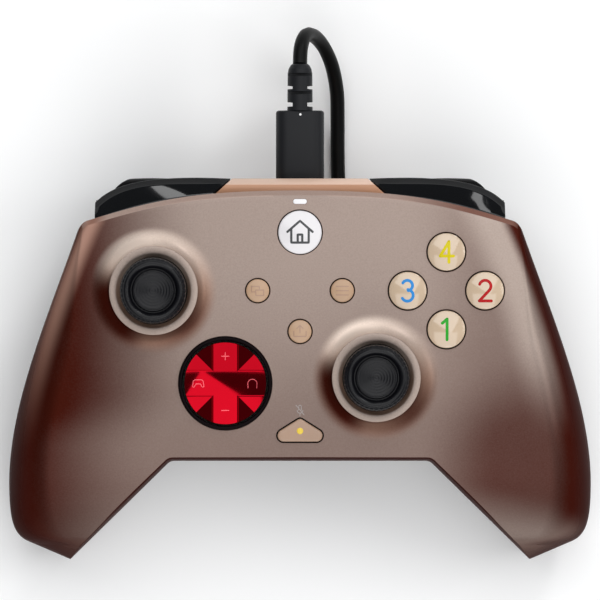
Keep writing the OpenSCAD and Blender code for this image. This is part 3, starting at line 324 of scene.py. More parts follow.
def shell_skin(i, back, inset, steps):
    """One skin of a shell, a row for each station and a column for each step across: a rounded outer edge,
    the face or belly, and a rounded inner edge. Each edge is a quarter of an ellipse from the seam, apart from
    the rear rim of the front, which is a chamfer. Inset moves the skin into the case."""
    h = np.abs(i)
    o = outer_edge(i, back) + inset * inward(lambda s: outer_edge(s, back), i, 1)
    n = inner_edge(i) + inset * inward(inner_edge, i, -1)
    w = np.linalg.norm(n - o, axis=1)
    bulge = ease((h - rim_end - 1) / 4)
    o_round = between(5, 15, ease((h - rim_end - 1) / 5)) if back else between(rim_chamfer, side_round, bulge)
    n_round = between(7, 12, ease((h - rim_end) / 6)) if back else np.full(len(i), notch_round)
    o_round, n_round = np.maximum(0.5, o_round - inset), np.maximum(0.5, n_round - inset)
    fit = np.minimum(1, 0.98 * w / (o_round + n_round))
    o_round, n_round = (fit * o_round)[:, None], (fit * n_round)[:, None]
    u, q, v = (np.linspace(0, 1, count + 1) for count in steps)
    chamfer = np.zeros((len(i), 1)) if back else (1 - ease((h - rim_end - 0.4) / 2.2))[:, None]
    round_in, round_up = 1 - np.cos(np.pi / 2 * u), np.sin(np.pi / 2 * u)
    flat_in, flat_up = np.clip(2 * u - 1, 0, 1), np.where(u < 0.5, 1.5 * u, 0.5 + 0.5 * u)
    v_in, v_up = n_round * (1 - np.sin(np.pi / 2 * v)), np.cos(np.pi / 2 * v)
    q = q[1:-1]
    run = np.hstack([o_round * between(round_in, flat_in, chamfer),
                     between(o_round, w[:, None] - n_round, q), w[:, None] - v_in])
    up = np.hstack([between(round_up, flat_up, chamfer), np.ones((len(i), len(q))), v_up + np.zeros_like(v_in)])
    seam_share = np.hstack([0 * u, q, 0 * v + 1])
    lift = np.full(run.shape[1], groove_half)
    if inset == 0:
        nick = np.minimum(groove_depth, 0.25 * w)[:, None]
        run = np.hstack([run[:, :1] + nick, run, run[:, -1:] - nick])
        up = np.hstack([up[:, :1], up, up[:, -1:]])
        seam_share, lift = np.pad(seam_share, 1, "edge"), np.pad(lift, 1)
    p = o[:, None] + (n - o)[:, None] * (run / w[:, None])[..., None]
    s = np.maximum(h, shoulder_end) if back else h
    fall = np.maximum(0, (s - rim_end - 1) / (tip_end - rim_end - 1))
    outer_seam = rim_seam_z - (rim_seam_z - tip_seam_z) * np.sin(np.pi / 2 * fall)
    inner_seam = between(notch_seam_z, tip_seam_z, ease((h - shoulder_end) / (tip_end - shoulder_end)))
    seam = between(outer_seam[:, None], inner_seam[:, None], seam_share)
    under = belly_z * (1 - ease((h - shoulder_end) / (22 - shoulder_end)))[:, None]
    full = under + inset if back else face_height(p[..., 0], p[..., 1]) - inset
    nose = np.sqrt(1 - np.maximum(0, (h - heel_end + 1) / (tip_end - heel_end + 1)) ** 2)[:, None]
    lift = -lift if back else lift
    z = seam + nose * (lift + (full - seam - lift) * up)
    skin = np.dstack([p, z])
    last = np.array([tip_end])
    a, b = inward(lambda s: outer_edge(s, back), last, 1), inward(inner_edge, last, -1)
    end = (tip + inset * (a + b) / (1 + a @ b.T))[0]
    ends = [np.full((1, skin.shape[1], 3), (side * end[0], end[1], tip_seam_z)) for side in (-1, 1)]
    return np.vstack([ends[0], skin, ends[1]])


def quads(rows, cols, ring=False, start=0):
    """The faces of a grid of points, row by row. A ring joins its last column to its first."""
    index = start + np.arange(rows * cols).reshape(rows, cols)
    index = np.hstack([index, index[:, :1]]) if ring else index
    corners = [index[:-1, :-1], index[:-1, 1:], index[1:, 1:], index[1:, :-1]]
    return np.stack(corners, -1).reshape(-1, 4).tolist()


def solid(name, points, faces):
    """A closed mesh from points in millimetres. Its doubles are merged and its faces turned outwards."""
    mesh = bpy.data.meshes.new(name)
    mesh.from_pydata((np.asarray(points).reshape(-1, 3) * MM).tolist(), [], faces)
    work = bmesh.new()
    work.from_mesh(mesh)
    bmesh.ops.remove_doubles(work, verts=work.verts, dist=0.002 * MM)
    bmesh.ops.recalc_face_normals(work, faces=work.faces)
    work.to_mesh(mesh)
    work.free()
    return put(name, mesh)


def loft(name, rings):
    """A closed body through rings of points, with a flat face over each end."""
    n, m = rings.shape[:2]
    return solid(name, rings, quads(n, m, ring=True) + [list(range(m)), list(range((n - 1) * m, n * m))])


def turned(profile, centre, sides=64, axis=2):
    """Rings of points: a profile of radii and heights turned about an axis through a centre."""
    r, s = np.asarray(profile, float).T
    angle = 2 * np.pi * np.arange(sides) / sides
    rings = np.zeros((len(r), sides, 3))
    a, b = [k for k in range(3) if k != axis]
    rings[..., a], rings[..., b] = np.outer(r, np.cos(angle)), np.outer(r, np.sin(angle))
    rings[..., axis] = s[:, None]
    return rings + np.asarray(centre, float)


def settle(made):
    """Puts the result of a piece's modifiers into its own mesh."""
    bpy.context.view_layer.update()
    mesh = bpy.data.meshes.new_from_object(made.evaluated_get(bpy.context.evaluated_depsgraph_get()))
    made.modifiers.clear()
    made.data = mesh
    return made


def carve(made, tools, operation="DIFFERENCE"):
    """Cuts closed bodies out of a piece, joins them to it or trims it by them, and then removes them."""
    for tool in tools:
        step = made.modifiers.new("carve", "BOOLEAN")
        step.operation, step.solver, step.object = operation, "MANIFOLD", tool
    settle(made)
    for tool in tools:
        bpy.data.objects.remove(tool)
    return made


def dress(made, material, body, *nodes, sharp=35):
    """Gives a piece its finish, smooth faces with crisp corners, its body and the solids it stands for."""
    made.data.materials.clear()
    made.data.materials.append(material)
    made.data.shade_smooth()
    made.data.set_sharp_from_angle(angle=math.radians(sharp))
    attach(made, body)
    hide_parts(*nodes)
    return made


def face_cut(place, r):
    """A cutter for a round hole: a cylinder that flares by a quarter arc where it meets the face."""
    a = np.radians([0, 25, 50, 75])
    flare = 0.18
    profile = np.array([[r, -14], *zip(r + flare * (1 - np.cos(a)), flare * (np.sin(a) - 1)),
                        [r + flare * 1.1, 0.4], [r + flare * 1.1, 6]])
    rings = turned(profile, (*place, 0), 96)
    rings[..., 2] += face_height(rings[..., 0], rings[..., 1])
    return loft("cutter", rings)


def stick_cut(place):
    """A cutter for a stick's opening: a funnel that narrows below a rounded lip and then runs straight down."""
    r, z = stick_hole_r, float(face_height(*place)) + lip_rise + 0.04
    profile = [(r - 0.9, z - 16), (r - 0.9, z - 3.4), (r - 0.2, z - 0.7), (r - 0.08, z - 0.25),
               (r + 0.06, z - 0.08), (r + 0.3, z + 0.02), (r + 0.4, z + 0.3), (r + 0.4, z + 3)]
    return loft("cutter", turned(profile, (*place, 0), 120))


def collar(place):
    """A stick's collar: a quarter of an ellipse from the face up to a level lip. It sinks a little into the
    face around its foot, where its height above the face runs from nothing to the whole rise."""
    a = np.radians(np.linspace(0, 90, 19))
    r = np.concatenate([[collar_r + 1.2, collar_r + 0.6], collar_r - (collar_r - stick_lip_r) * np.sin(a)])
    rise = np.concatenate([[-0.05, -0.02], lip_rise * (1 - np.cos(a))])
    r = np.concatenate([[collar_r + 1.2], r, [stick_lip_r - 0.12, stick_hole_r - 1, stick_hole_r - 1]])
    rise = np.concatenate([[-1.5], rise, [lip_rise + 0.04, lip_rise + 0.04, -1.5]])
    level = ease((collar_r - r) / (collar_r - stick_lip_r))[:, None]
    rings = turned(np.stack([r, rise], 1), (*place, 0), 120)
    rings[..., 2] += between(face_height(rings[..., 0], rings[..., 1]), face_height(*place), level)
    rings = np.vstack([rings, rings[:1]])
    return solid("collar", rings, quads(*rings.shape[:2], ring=True))


def pill(w, h, sides=12):
    """The outline of a slot with round ends, anticlockwise."""
    a = np.radians(np.linspace(-90, 90, sides + 1))
    end = np.stack([(w - h) / 2 + h / 2 * np.cos(a), h / 2 * np.sin(a)], 1)
    return np.vstack([end, -end])


def prism(name, outline, low, high, place=(0, 0, 0), axes=np.eye(3)):
    """A body with a flat outline carried from low to high along the third of three axes."""
    flat = outline @ np.asarray(axes[:2], float) + np.asarray(place, float)
    return loft(name, np.stack([flat + low * np.asarray(axes[2]), flat + high * np.asarray(axes[2])]))


def mute_outline(grow, sides=72):
    """The mute button's outline: the furthest points, in each direction, of three circles."""
    angle = 2 * np.pi * np.arange(sides) / sides
    way = np.stack([np.cos(angle), np.sin(angle)], 1)
    middles = np.array([[-4.3, 0], [4.3, 0], [0, 3.3]])
    radii = np.array([1.6, 1.6, 1.1]) + grow
    pick = np.argmax(way @ middles.T + radii, 1)
    return mute_place + middles[pick] + radii[pick, None] * way


def shell(name, back):
    """A shell as a closed body: the skin outside, the skin inside and the rim between them."""
    half = np.concatenate([np.linspace(a, b, count, endpoint=False) for a, b, count in [
        (0, rim_end, 64), (rim_end, shoulder_end, 24), (shoulder_end, side_end, 66), (side_end, heel_end, 36),
        (heel_end, tip_end - 0.02, 32)]])
    rows = np.concatenate([-half[:0:-1], half])
    outside = shell_skin(rows, back, 0, (16, 72, 8))
    inside = shell_skin(np.clip(rows, 1 - tip_end, tip_end - 1), back, wall, (6, 16, 4))
    n, a, b = len(outside), outside.shape[1], inside.shape[1]
    first, last = np.arange(n) * a, n * a + np.arange(n) * b
    rims = [np.stack([p[:-1], p[1:], q[1:], q[:-1]], 1).tolist()
            for p, q in [(first, last), (first + a - 1, last + b - 1)]]
    points = np.vstack([outside.reshape(-1, 3), inside.reshape(-1, 3)])
    return solid(name, points, quads(n, a) + quads(n, b, start=n * a) + rims[0] + rims[1])


front_shell = shell("case_front", False)
carve(front_shell, [collar(place) for place in stick_places.values()], "UNION")
carve(front_shell, [stick_cut(place) for place in stick_places.values()]
      + [face_cut(place, action_r + 0.7 * button_gap) for place in action_places.values()]
      + [face_cut(place, small_r + 0.6 * button_gap) for place in small_places.values()]
      + [face_cut(home_place, home_r + 0.55 * button_gap), face_cut(dpad_place, dpad_hole_r),
         prism("cutter", mute_outline(button_gap), *through_face),
         prism("cutter", lamp_place + pill(lamp_w + 2 * lamp_gap, lamp_h + 2 * lamp_gap), *through_face),
         loft("cutter", turned([[jack_r, notch_y - 5], [jack_r, notch_y + 7]], (0, 0, jack_z), 40, axis=1))])
# The paint's base colour is a blend of a dark red-brown and a pale tan, set by a level of painted light and
# shade that is worked out from the place and the facing of each point, with the paint's own cloud and grain
# added.
bronze_paint, wire = new_finish("bronze_paint")
paint_place = wire.node("TexCoord", output="Object")
paint_cloud, paint_grain = wire.noise(60.0, 2.0), wire.noise(2400.0, 1.0)
paint_x, paint_y, _ = (part * (1 / MM) for part in paint_place.parts())
_, tilt_y, tilt_z = wire.node("TexCoord", output="Normal").parts()
low, up = -1 * paint_y, wire.math("MAXIMUM", paint_y - bulge_y, 0.0)
inset = half_w - (0.1035 + 0.002575 * up) * up - abs(paint_x)
# Painted shade: the paint darkens toward the left side, reaching farther in above the grips than on them.
left_painted_shade = (paint_x + 61 + 13 * low.step(5.0, 22.0)).step(0.0, 36.0)
# Painted shade on the right side, which deepens partway down and is gone again at the grip's tip.
band_start, band_end = low + 0.5 * (paint_x - 50), low - 0.22 * (paint_x - 52)
right_painted_shade = 1 - paint_x.step(28.0, 52.0) * (
    0.36 + 0.42 * band_start.step(-4.0, 20.0) - 0.78 * band_end.step(30.0, 42.0))
on_right, on_left = paint_x.step(30.0, 40.0), (-1 * paint_x).step(30.0, 40.0)
# Painted shade in a narrow strip along the upper right edge, and painted highlights in bands just inside both
# side edges.
right_edge_shade = 1 - (1 - inset.step(1.8, 5.2)) * on_right * paint_y.step(-8.0, 6.0)
right_painted_highlight = inset.step(2.4, 5.6) * (1 - inset.step(8.0, 17.0)) * paint_y.step(-19.0, 8.0) * on_right
left_painted_highlight = inset.step(-0.5, 2.6) * (1 - inset.step(2.8, 7.0)) * paint_y.step(-24.0, 30.0) * on_left
# Painted light that is stronger toward the rear and at the grips' tips, and painted shade on steep faces,
# lessened near the grips' tips.
painted_light = left_painted_shade * right_painted_shade * (0.52 + 0.48 * paint_y.step(-30.0, 30.0) + 0.45 * low.step(30.0, 44.0))
level = tilt_z.step(0.6, 0.97)
level = level + 0.55 * low.step(36.0, 44.0) * (tilt_z.step(0.05, 0.6) - level)
painted_light = painted_light * level * right_edge_shade + 0.6 * right_painted_highlight
# Painted highlight on the rear chamfer, which faces the rear: strongest in the middle, kept off the collars and
# tinted toward a red-brown.
rim = tilt_y.step(0.25, 0.45) * paint_y.step(24.0, 30.0)
pale = srgb(206, 191, 180)
# On each collar, painted light and shade by the way each point lies from the stick: a painted highlight in a
# paler colour on the rear side, and painted shade toward the front left. The lip is set to one level of painted
# light, and the stick's well, which lies in shade, is painted lighter.
for place in stick_places.values():
    collar_x, collar_y = paint_x - float(place[0]), paint_y - float(place[1])
    radius = (collar_x * collar_x + collar_y * collar_y) ** 0.5
    c, s, nearer = collar_x / radius, collar_y / radius, -1 * radius
    flank_painted_light = (0.62 + (1.05 + 0.72 * s - 0.69 * c) * s - 0.08 * c
             + 0.25 * (c * (4 * c * c - 3) + s * (3 - 4 * s * s)))
    flank_painted_light = flank_painted_light * (1 - (-0.906 * c - 0.423 * s).step(0.55, 0.95))
    on_flank, in_well = nearer.step(-17.2, -13.2), nearer.step(-9.95, -9.65)
    on_lip = nearer.step(-11.75, -11.5) * (1 - in_well)
    flank_highlight_colour = s.step(-0.2, 0.9).tint(srgb(208, 172, 150), srgb(232, 213, 199))
    pale = (on_flank * (1 - on_lip)).tint(pale, flank_highlight_colour)
    rim = rim * (1 - nearer.step(-17.2, -16.2))
    painted_light = painted_light + on_flank * (flank_painted_light - painted_light)
    painted_light = painted_light + in_well * (1.6 - painted_light)
    painted_light = painted_light + on_lip * (1.22 - painted_light)
rim_highlight_level = 2 - 1.7 * paint_x.step(20.0, 46.0)
painted_light = painted_light + rim * (rim_highlight_level - painted_light)
painted_light = painted_light + 0.05 * (paint_cloud - 0.5) + (0.06 + 0.22 * painted_light) * (paint_grain - 0.5)
# The base colour: dark red-brown in painted shade, pale tan in painted light, with painted highlights on the
# rear chamfer and along the left side.
light_and_shade_colour = (0.45 * painted_light).tint(srgb(62, 21, 13), pale)
shade(wire, {
    "Base Color": (0.5 * rim).tint(left_painted_highlight.tint(light_and_shade_colour, srgb(156, 121, 107)), srgb(120, 78, 64)),
    "Roughness": 0.42 + 0.08 * (paint_grain - 0.5), "IOR": 1.06, "Metallic": 0.4,
    "Specular Tint": srgb(90, 40, 28),
    "Normal": wire.bump(paint_grain, 0.35, 0.03)})
dress(front_shell, bronze_paint, "case", "front_shell")

# Back shell
# The lower half of the case carries the board, the motors and the screws, and its grips rest on the table.
# It is moulded in dark brown plastic with a fine pebbled texture for the fingers, and has wells for the four
# screws, a slot for each paddle and one for the connector.
screw_places, well_r = [(half_w - 22.6, 30.4, 29.9), (half_w - 14, -40, 12)], 2.9
port_w, port_h = 8.94, 3.26
port_z = sum(corner.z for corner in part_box("plug_relief")) / 2 / MM
paddle_l, paddle_w, paddle_gap = 15, 6, 0.38


def paddle_cut(name):
    """A cutter for a paddle's slot: its outline and gap, carried along that main axis of its solid that points
    most steeply down, with the longest axis as the outline's length."""
    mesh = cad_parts[name].data
    corners = np.empty(3 * len(mesh.vertices), np.float32)
    mesh.vertices.foreach_get("co", corners)
    corners = corners.reshape(-1, 3) / MM
    long_way, *others = np.linalg.svd(corners - corners.mean(0), full_matrices=False)[2]
    out_way = max(others, key=lambda way: abs(way[2]))
    axes = np.stack([long_way, np.cross(out_way, long_way), out_way])
    reach = corners @ axes.T
    middle = (reach.min(0) + reach.max(0)) / 2 @ axes
    return prism("cutter", pill(paddle_l + 2 * paddle_gap, paddle_w + 2 * paddle_gap), -9, 9, middle, axes)


back_shell = shell("case_back", True)
well_cuts = [loft("cutter", turned([[well_r, -9], [well_r, z]], (side * x, y, 0), 40))
             for x, y, z in screw_places for side in (-1, 1)]
port_cut = prism("cutter", pill(port_w + 1, port_h + 1), rear_wall_y - 6, rear_wall_y + 4, (0, 0, port_z),
                 np.array([[1, 0, 0], [0, 0, 1], [0, 1, 0]]))
carve(back_shell, [*well_cuts, port_cut, paddle_cut("left_paddle"), paddle_cut("right_paddle")])
brown_grip, wire = new_finish("brown_grip")
grip_place = wire.node("TexCoord", output="Object")
grip_cells = wire.node("TexVoronoi", {"Vector": grip_place, "Scale": 900.0, "Randomness": 0.8})
grip_cloud = wire.noise(90.0, 3.0)
shade(wire, {
    "Base Color": (0.6 * grip_cloud + 0.4 * grip_cells).tint(srgb(48, 26, 20), srgb(66, 40, 33)),
    "Roughness": 0.62 + 0.2 * (grip_cells - 0.4), "IOR": 1.22,
    "Normal": wire.bump(1 - grip_cells, 0.6, 0.12)})
dress(back_shell, brown_grip, "case", "back_shell")

# Boards, connector and headset socket
# A green circuit board with pale traces stands on posts inside the case and carries the switches, the stick
# sockets and the headset socket. The connector is a drawn steel shell. All these are solids of the model.
board_mask, wire = new_finish("board_mask")
board_place = wire.node("TexCoord", output="Object")
board_tracks = wire.node("TexBrick", {
    "Vector": board_place, "Scale": 260.0, "Mortar Size": 0.03, "Color1": srgb(20, 44, 30),
    "Color2": srgb(24, 52, 36), "Mortar": srgb(52, 88, 66)})
board_fleck = wire.noise(700.0, 3.0)
shade(wire, {
    "Base Color": board_tracks, "Roughness": 0.34 + 0.2 * (board_fleck - 0.5),
    "Normal": wire.bump(board_fleck, 0.2, 0.03)})
plated_steel = moulded("plated_steel", srgb(190, 190, 194), 0.3, grain=900, depth=0.01, Metallic=1.0)
dark_nylon = moulded("dark_nylon", srgb(24, 23, 24), 0.6, grain=1400)
pale_nylon = moulded("pale_nylon", srgb(206, 198, 184), 0.45, grain=1400)
grey_rubber = moulded("grey_rubber", srgb(96, 98, 102), 0.7, grain=1900, depth=0.03)


def coat(material, *nodes):
    """Gives solids of the model that show their own shape a finish."""
    for node in nodes:
        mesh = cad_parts[node].data
        mesh.materials.clear()
        mesh.materials.append(material)


coat(board_mask, "main_pcb", "lamp_board")
coat(plated_steel, "usb_port", "usb_c_tongue", "trigger_pins", "dpad_fulcrum", "dpad_rocker")
coat(grey_rubber, "dpad_membrane", "action_membrane")
for side in ("left", "right"):
    coat(plated_steel, side + "_stick_stem", side + "_motor", side + "_weight", side + "_trigger_spring")
    coat(dark_nylon, side + "_stick_socket", side + "_stick_gimbal", side + "_shoulder_frame")
    coat(pale_nylon, side + "_stick_rocker")


def eased(node, material, body, width, cuts=3, within=()):
    """A copy of a solid: its flat faces are joined again, its edges are rounded and other forms trim it."""
    flat_angle, edge_angle = math.radians(0.5), math.radians(30)
    made = put(node + "_eased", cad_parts[node].data.copy())
    work = bmesh.new()
    work.from_mesh(made.data)
    bmesh.ops.remove_doubles(work, verts=work.verts, dist=0.002 * MM)
    bmesh.ops.dissolve_limit(work, angle_limit=flat_angle, verts=work.verts, edges=work.edges)
    work.to_mesh(made.data)
    work.free()
    edge = made.modifiers.new("edge", "BEVEL")
    edge.width, edge.segments, edge.harden_normals = width * MM, cuts, True
    edge.limit_method, edge.angle_limit = "ANGLE", edge_angle
    return dress(carve(made, within, "INTERSECT"), material, body, node, sharp=40)


eased("audio_jack", moulded("jack_black", srgb(24, 24, 26), 0.36, grain=1500), "case", 0.25)

# Paddles and screws
# A black paddle button stands a little proud of each grip's underside. Four steel screws in deep wells hold
# the two shells together.
paddle_black = moulded("paddle_black", srgb(30, 29, 30), 0.4, grain=1600)
for name in ("left_paddle", "right_paddle"):
    eased(name, paddle_black, name, 0.4)
screw_steel = moulded("screw_steel", srgb(120, 120, 124), 0.35, grain=900, depth=0.01, Metallic=1.0)
eased("case_screws", screw_steel, "case", 0.2)

# Bridge
# A tan trim piece spans the gap between the shoulder buttons, with the opening for the plug below its crest.
# It is a separate moulding in satin tan, clamped between the shells. Its face behind the crest is painted
# lighter and its face before the crest darker, as painted light and shade.
tan_satin, wire = new_finish("tan_satin")
trim_place = wire.node("TexCoord", output="Object")
trim_grain = wire.noise(2600.0, 1.0)
# Painted light and shade: a lighter tan behind the crest, a darker tan before it.
crest_painted_light = (trim_place.parts()[1] * (1 / MM)).step(48.4, 48.7)
shade(wire, {
    "Base Color": crest_painted_light.tint(srgb(184, 138, 108), srgb(218, 186, 166)),
    "Roughness": 0.4 + 0.1 * (trim_grain - 0.5), "IOR": 1.4,
    "Normal": wire.bump(trim_grain, 0.3, 0.02)})
eased("top_bridge", tan_satin, "case", 0.18, 2)

# Shoulder buttons
# Each bumper is a bar with a ridge along its rear edge, and turns on an upright pin beside the bridge. Both
# are moulded in gloss black plastic, with a flat lip that follows the shell's rim.
bumper_top = rim_seam_z - 0.4
bumper_low = rim_seam_z - 7.6
bridge_half_w, bridge_rear_y = half_w - 54.6, rim_y + 3.2
bumper_out_x = shoulder[0] - 1.9
bumper_rear = np.array([[bridge_half_w - 4.1, bridge_rear_y], [shoulder[0] - 15.8, bridge_rear_y + 1],
                        [shoulder[0] - 6.8, rim_y + 2], [bumper_out_x, rim_y - 3.1]])


def rounded(corners, reach, cuts=3):
    """Closed outlines whose corners become quadratic curves that start and end at a reach from each corner."""
    before, after = np.roll(corners, 1, axis=-2) - corners, np.roll(corners, -1, axis=-2) - corners

    def toward(leg):
        length = np.linalg.norm(leg, axis=-1, keepdims=True)
        return corners + leg * np.minimum(reach / np.maximum(length, 1e-9), 0.45)

    t = np.linspace(0, 1, cuts + 1)[:, None]
    a, c, b = (p[..., None, :] for p in (toward(before), corners, toward(after)))
    curve = (1 - t) ** 2 * a + 2 * t * (1 - t) * c + t ** 2 * b
    return curve.reshape(*corners.shape[:-2], -1, corners.shape[-1])


def bumper_rings(side, steps=56):
    """A bumper between its ends: a section of seven corners from the rim to the ridge and the rear edge."""
    q = np.linspace(0, 1, steps + 1)
    share = np.linspace(0, 1, 400)
    from_to = np.interp([bridge_half_w + 0.5, bumper_out_x], bend(rim_curve, share)[:, 0], share)
    rim, rear = bend(rim_curve, between(*from_to, q)), bend(bumper_rear, q)
    tucked = rim - np.stack([0 * q, between(7.5, 1.2, ease(q))], 1)
    lip = rim + [0, 0.1]
    ridge = rear + 1.6 * (rim - rear) / np.linalg.norm(rim - rear, axis=1, keepdims=True)
    heights = [(tucked, bumper_low), (tucked, bumper_top), (lip, bumper_top), (ridge, bumper_top - 2.6),
               (rear, bumper_top - 5), (rear, bumper_low), (lip, bumper_low)]
    section = np.stack([np.column_stack([p, np.full(len(q), z)]) for p, z in heights], 1)
    rings = rounded(section, 0.35)
    ends = [between(rings[k], rings[k].mean(0), 0.06) for k in (0, -1)]
    nudge = rings[1] - rings[0], rings[-1] - rings[-2]
    rings = np.vstack([[ends[0] - 0.1 * nudge[0]], rings, [ends[1] + 0.1 * nudge[1]]])
    return rings * [side, 1, 1]


gloss_black, wire = new_finish("gloss_black")
bar_grain = wire.noise(1200.0, 1.0)
polished = wire.node("TexCoord", output="Normal").parts()[2].step(0.45, 0.8)
shade(wire, {
    "Base Color": bar_grain.tint(srgb(7, 8, 10), srgb(10, 11, 13)), "IOR": 1.12,
    "Roughness": 0.3 - 0.2 * polished, "Coat Weight": 0.7 * polished, "Coat Roughness": 0.05,
    "Normal": wire.bump(bar_grain, 0.2, 0.004)})
for side, name in [(-1, "left_bumper"), (1, "right_bumper")]:
    dress(loft(name + "_bar", bumper_rings(side)), gloss_black, name, name, sharp=30)

# Triggers
# Each trigger is a hollow black moulding on a cross pin. The finger's face is crowned from side to side,
# round at its outer corner, and curls back at the tip.
pivot = np.array([41.5, rim_seam_z - 12])
trigger_half_w, trigger_mid_x = 11.8, half_w - 37.9
trigger_face = pivot + [[2.9, 3.6], [10.3, 2.4], [9.7, -7], [8.1, -15]]
trigger_tip = np.array([trigger_face[3], trigger_face[3] - [1.2, 6], [pivot[0] + 6.7, 5], [pivot[0] + 9, 0]])
trigger_crown, trigger_outer_r, trigger_inner_r = 0.7, 5.5, 3.4


def trigger_rings(side, steps=44, cuts=22):
    """Sections across a trigger: its face stands back by a low arch, and by a circle's fall near each end."""
    u = np.sin(np.pi / 2 * np.linspace(-1, 1, steps + 1))
    fall = 0.15 + trigger_crown * u * u
    for toward, r in [(1, trigger_outer_r), (-1, trigger_inner_r)]:
        over = np.maximum(r - trigger_half_w * (1 - toward * u), 0)
        fall = fall + r - np.sqrt(r * r - over * over)
    t = np.linspace(0, 1, cuts + 1)
    face = np.vstack([bend(trigger_face, t), bend(trigger_tip, t[1:]), [pivot[0] + 9.6, -1.5]])
    y = np.column_stack([face[:, 0] - fall[:, None], np.full((steps + 1, 2), pivot[0] - 12)])
    z = np.broadcast_to(np.append(face[:, 1], [-1.5, pivot[1] + 5]), y.shape)
    x = np.broadcast_to((trigger_mid_x + (trigger_half_w - 0.1) * u)[:, None], y.shape)
    return np.stack([side * x, y, z], -1)


satin_black, wire = new_finish("satin_black")
pad_grain = wire.noise(1400.0, 1.0)
_, rearward, upward = wire.node("TexCoord", output="Normal").parts()
shade(wire, {
    "Base Color": pad_grain.tint(srgb(7, 7, 8), srgb(10, 10, 11)), "Roughness": 0.3, "IOR": 1.04,
    "Coat Weight": 0.6 * rearward.step(0.2, 0.6) * (1 - upward.step(-0.15, 0.12)), "Coat Roughness": 0.2,
    "Normal": wire.bump(pad_grain, 0.2, 0.006)})
for side, name in [(-1, "left_trigger"), (1, "right_trigger")]:
    eased(name, satin_black, name, 0.6, within=[loft(name + "_form", trigger_rings(side))])

# Thumbsticks
# Each stick has a soft black rubber cap with a knurled edge, a raised ring and a shallow dish with faint
# ripples. The cap is pressed on the stem, which tilts in the gimbal and clicks down.
stick_drop = 10.5
cap_r = 8.65
knurl_count, knurl_depth = 40, 0.16


def stick_rings(place, sides=320):
    """A turned profile whose edge has small notches: the radius there loses a narrow bell of each notch."""
    a = np.radians(np.arange(26, 48.1, 5.5))
    skirt = [*zip(7.2 * np.sin(a), 7.2 * np.cos(a)), *zip(8.2 * np.sin(a[::-1]), 8.2 * np.cos(a[::-1]))]
    neck = [(4, 9.4), (4.1, 12), (4.4, 14.4), (7.05, 15), (8.25, 15.3), (8.6, 15.8)]
    edge = [(8.65, 16.3), (8.65, 17.5), (8.6, 17.9), (8.45, 18.25), (8.15, 18.5), (7.95, 18.62)]
    ring = [(7.85, 18.78), (7.7, 18.98), (7.45, 19.14), (7.15, 19.2), (6.85, 19.14), (6.55, 18.96),
            (6.3, 18.66), (6.12, 18.26), (6.0, 17.86), (5.85, 17.66), (5.65, 17.66), (5.5, 17.86),
            (5.4, 18.2), (5.28, 18.33), (5.1, 18.34), (5.04, 18.2), (4.96, 18.2), (4.9, 18.34)]
    r = np.linspace(4.84, 0, 54)
    dish = zip(r, 18.34 - 0.42 * (1 - (r / 4.84) ** 2) + 0.028 * np.cos(2 * np.pi * r / 0.75))
    profile = np.array([(0, 5.1), (3.4, 5.1), *skirt, *neck, *edge, *ring, *dish])
    rings = turned(profile, (0, 0, 0), sides)
    angle = np.arange(sides) / sides * knurl_count % 1 - 0.5
    on_edge = np.clip((profile[:, 0] - 7.9) / 0.4, 0, 1) * (profile[:, 1] > 15.9)
    rings[..., :2] *= 1 - knurl_depth / cap_r * np.outer(on_edge, np.exp(-(angle / 0.16) ** 2))[..., None]
    return rings + [*place, face_height(*place) + lip_rise - stick_drop]


stick_rubber = moulded("stick_rubber", srgb(12, 12, 16), 0.27, grain=2600, depth=0.012, IOR=1.31)
for side, place in stick_places.items():
    dress(loft(side + "_thumb_cap", stick_rings(place)), stick_rubber, side + "_stick", side + "_stick_cap",
          sharp=50)

# Direction pad
# A dished cap is plated in mirror red over four arms, with two facets between each pair of arms that meet in
# a fold on the diagonal. It rocks inside a gloss black ring that is pressed into the face.
dpad_r, dpad_arm = 10.7, 3.35
dpad_pivot = face_height(*dpad_place) - 5.2


def dpad_height(x, y):
    """The cap's top: a dish of 45 mm radius over the arms, and two planes that rise to the diagonal."""
    far, near = np.maximum(abs(x), abs(y)), np.minimum(abs(x), abs(y))
    dish = 4.8 + (x * x + y * y) / 90 - 0.1 * np.clip((near - 3.1) / 0.25, 0, 1)
    planes = 4.57 + far * far / 90 + 0.34 * (near - dpad_arm)
    return dpad_pivot + np.where(near < dpad_arm + 0.01, dish, planes)


def dpad_block():
    """A square block under the cap's top: a grid whose cells are halved along the line to the middle, a skirt
    around it and a flat foot."""
    arm_edge = [3.25, dpad_arm, dpad_arm + 0.08]
    line = np.concatenate([np.linspace(0, 3.1, 8), arm_edge, np.linspace(3.8, 11.8, 17)])
    line = np.concatenate([-line[:0:-1], line])
    x, y = np.meshgrid(line, line)
    top = np.dstack([x + dpad_place[0], y + dpad_place[1], dpad_height(x, y)]).reshape(-1, 3)
    index = np.arange(x.size).reshape(x.shape)
    a, b, c, d = (p.ravel() for p in (index[:-1, :-1], index[:-1, 1:], index[1:, 1:], index[1:, :-1]))
    rising = ((x * y)[:-1, :-1] + (x * y)[1:, 1:]).ravel() > 0
    halves = np.where(rising[:, None], np.stack([a, b, c, a, c, d], 1), np.stack([a, b, d, b, c, d], 1))
    border = np.concatenate([index[0, :-1], index[:-1, -1], index[-1, :0:-1], index[:0:-1, 0]])
    foot = top[border] * [1, 1, 0] + [0, 0, dpad_pivot + 1.8]
    low = x.size + np.arange(len(border))
    skirt = np.stack([border, np.roll(border, -1), np.roll(low, -1), low], 1)
    faces = halves.reshape(-1, 3).tolist() + skirt.tolist() + [low.tolist()]
    return solid("dpad_dish", np.vstack([top, foot]), faces)


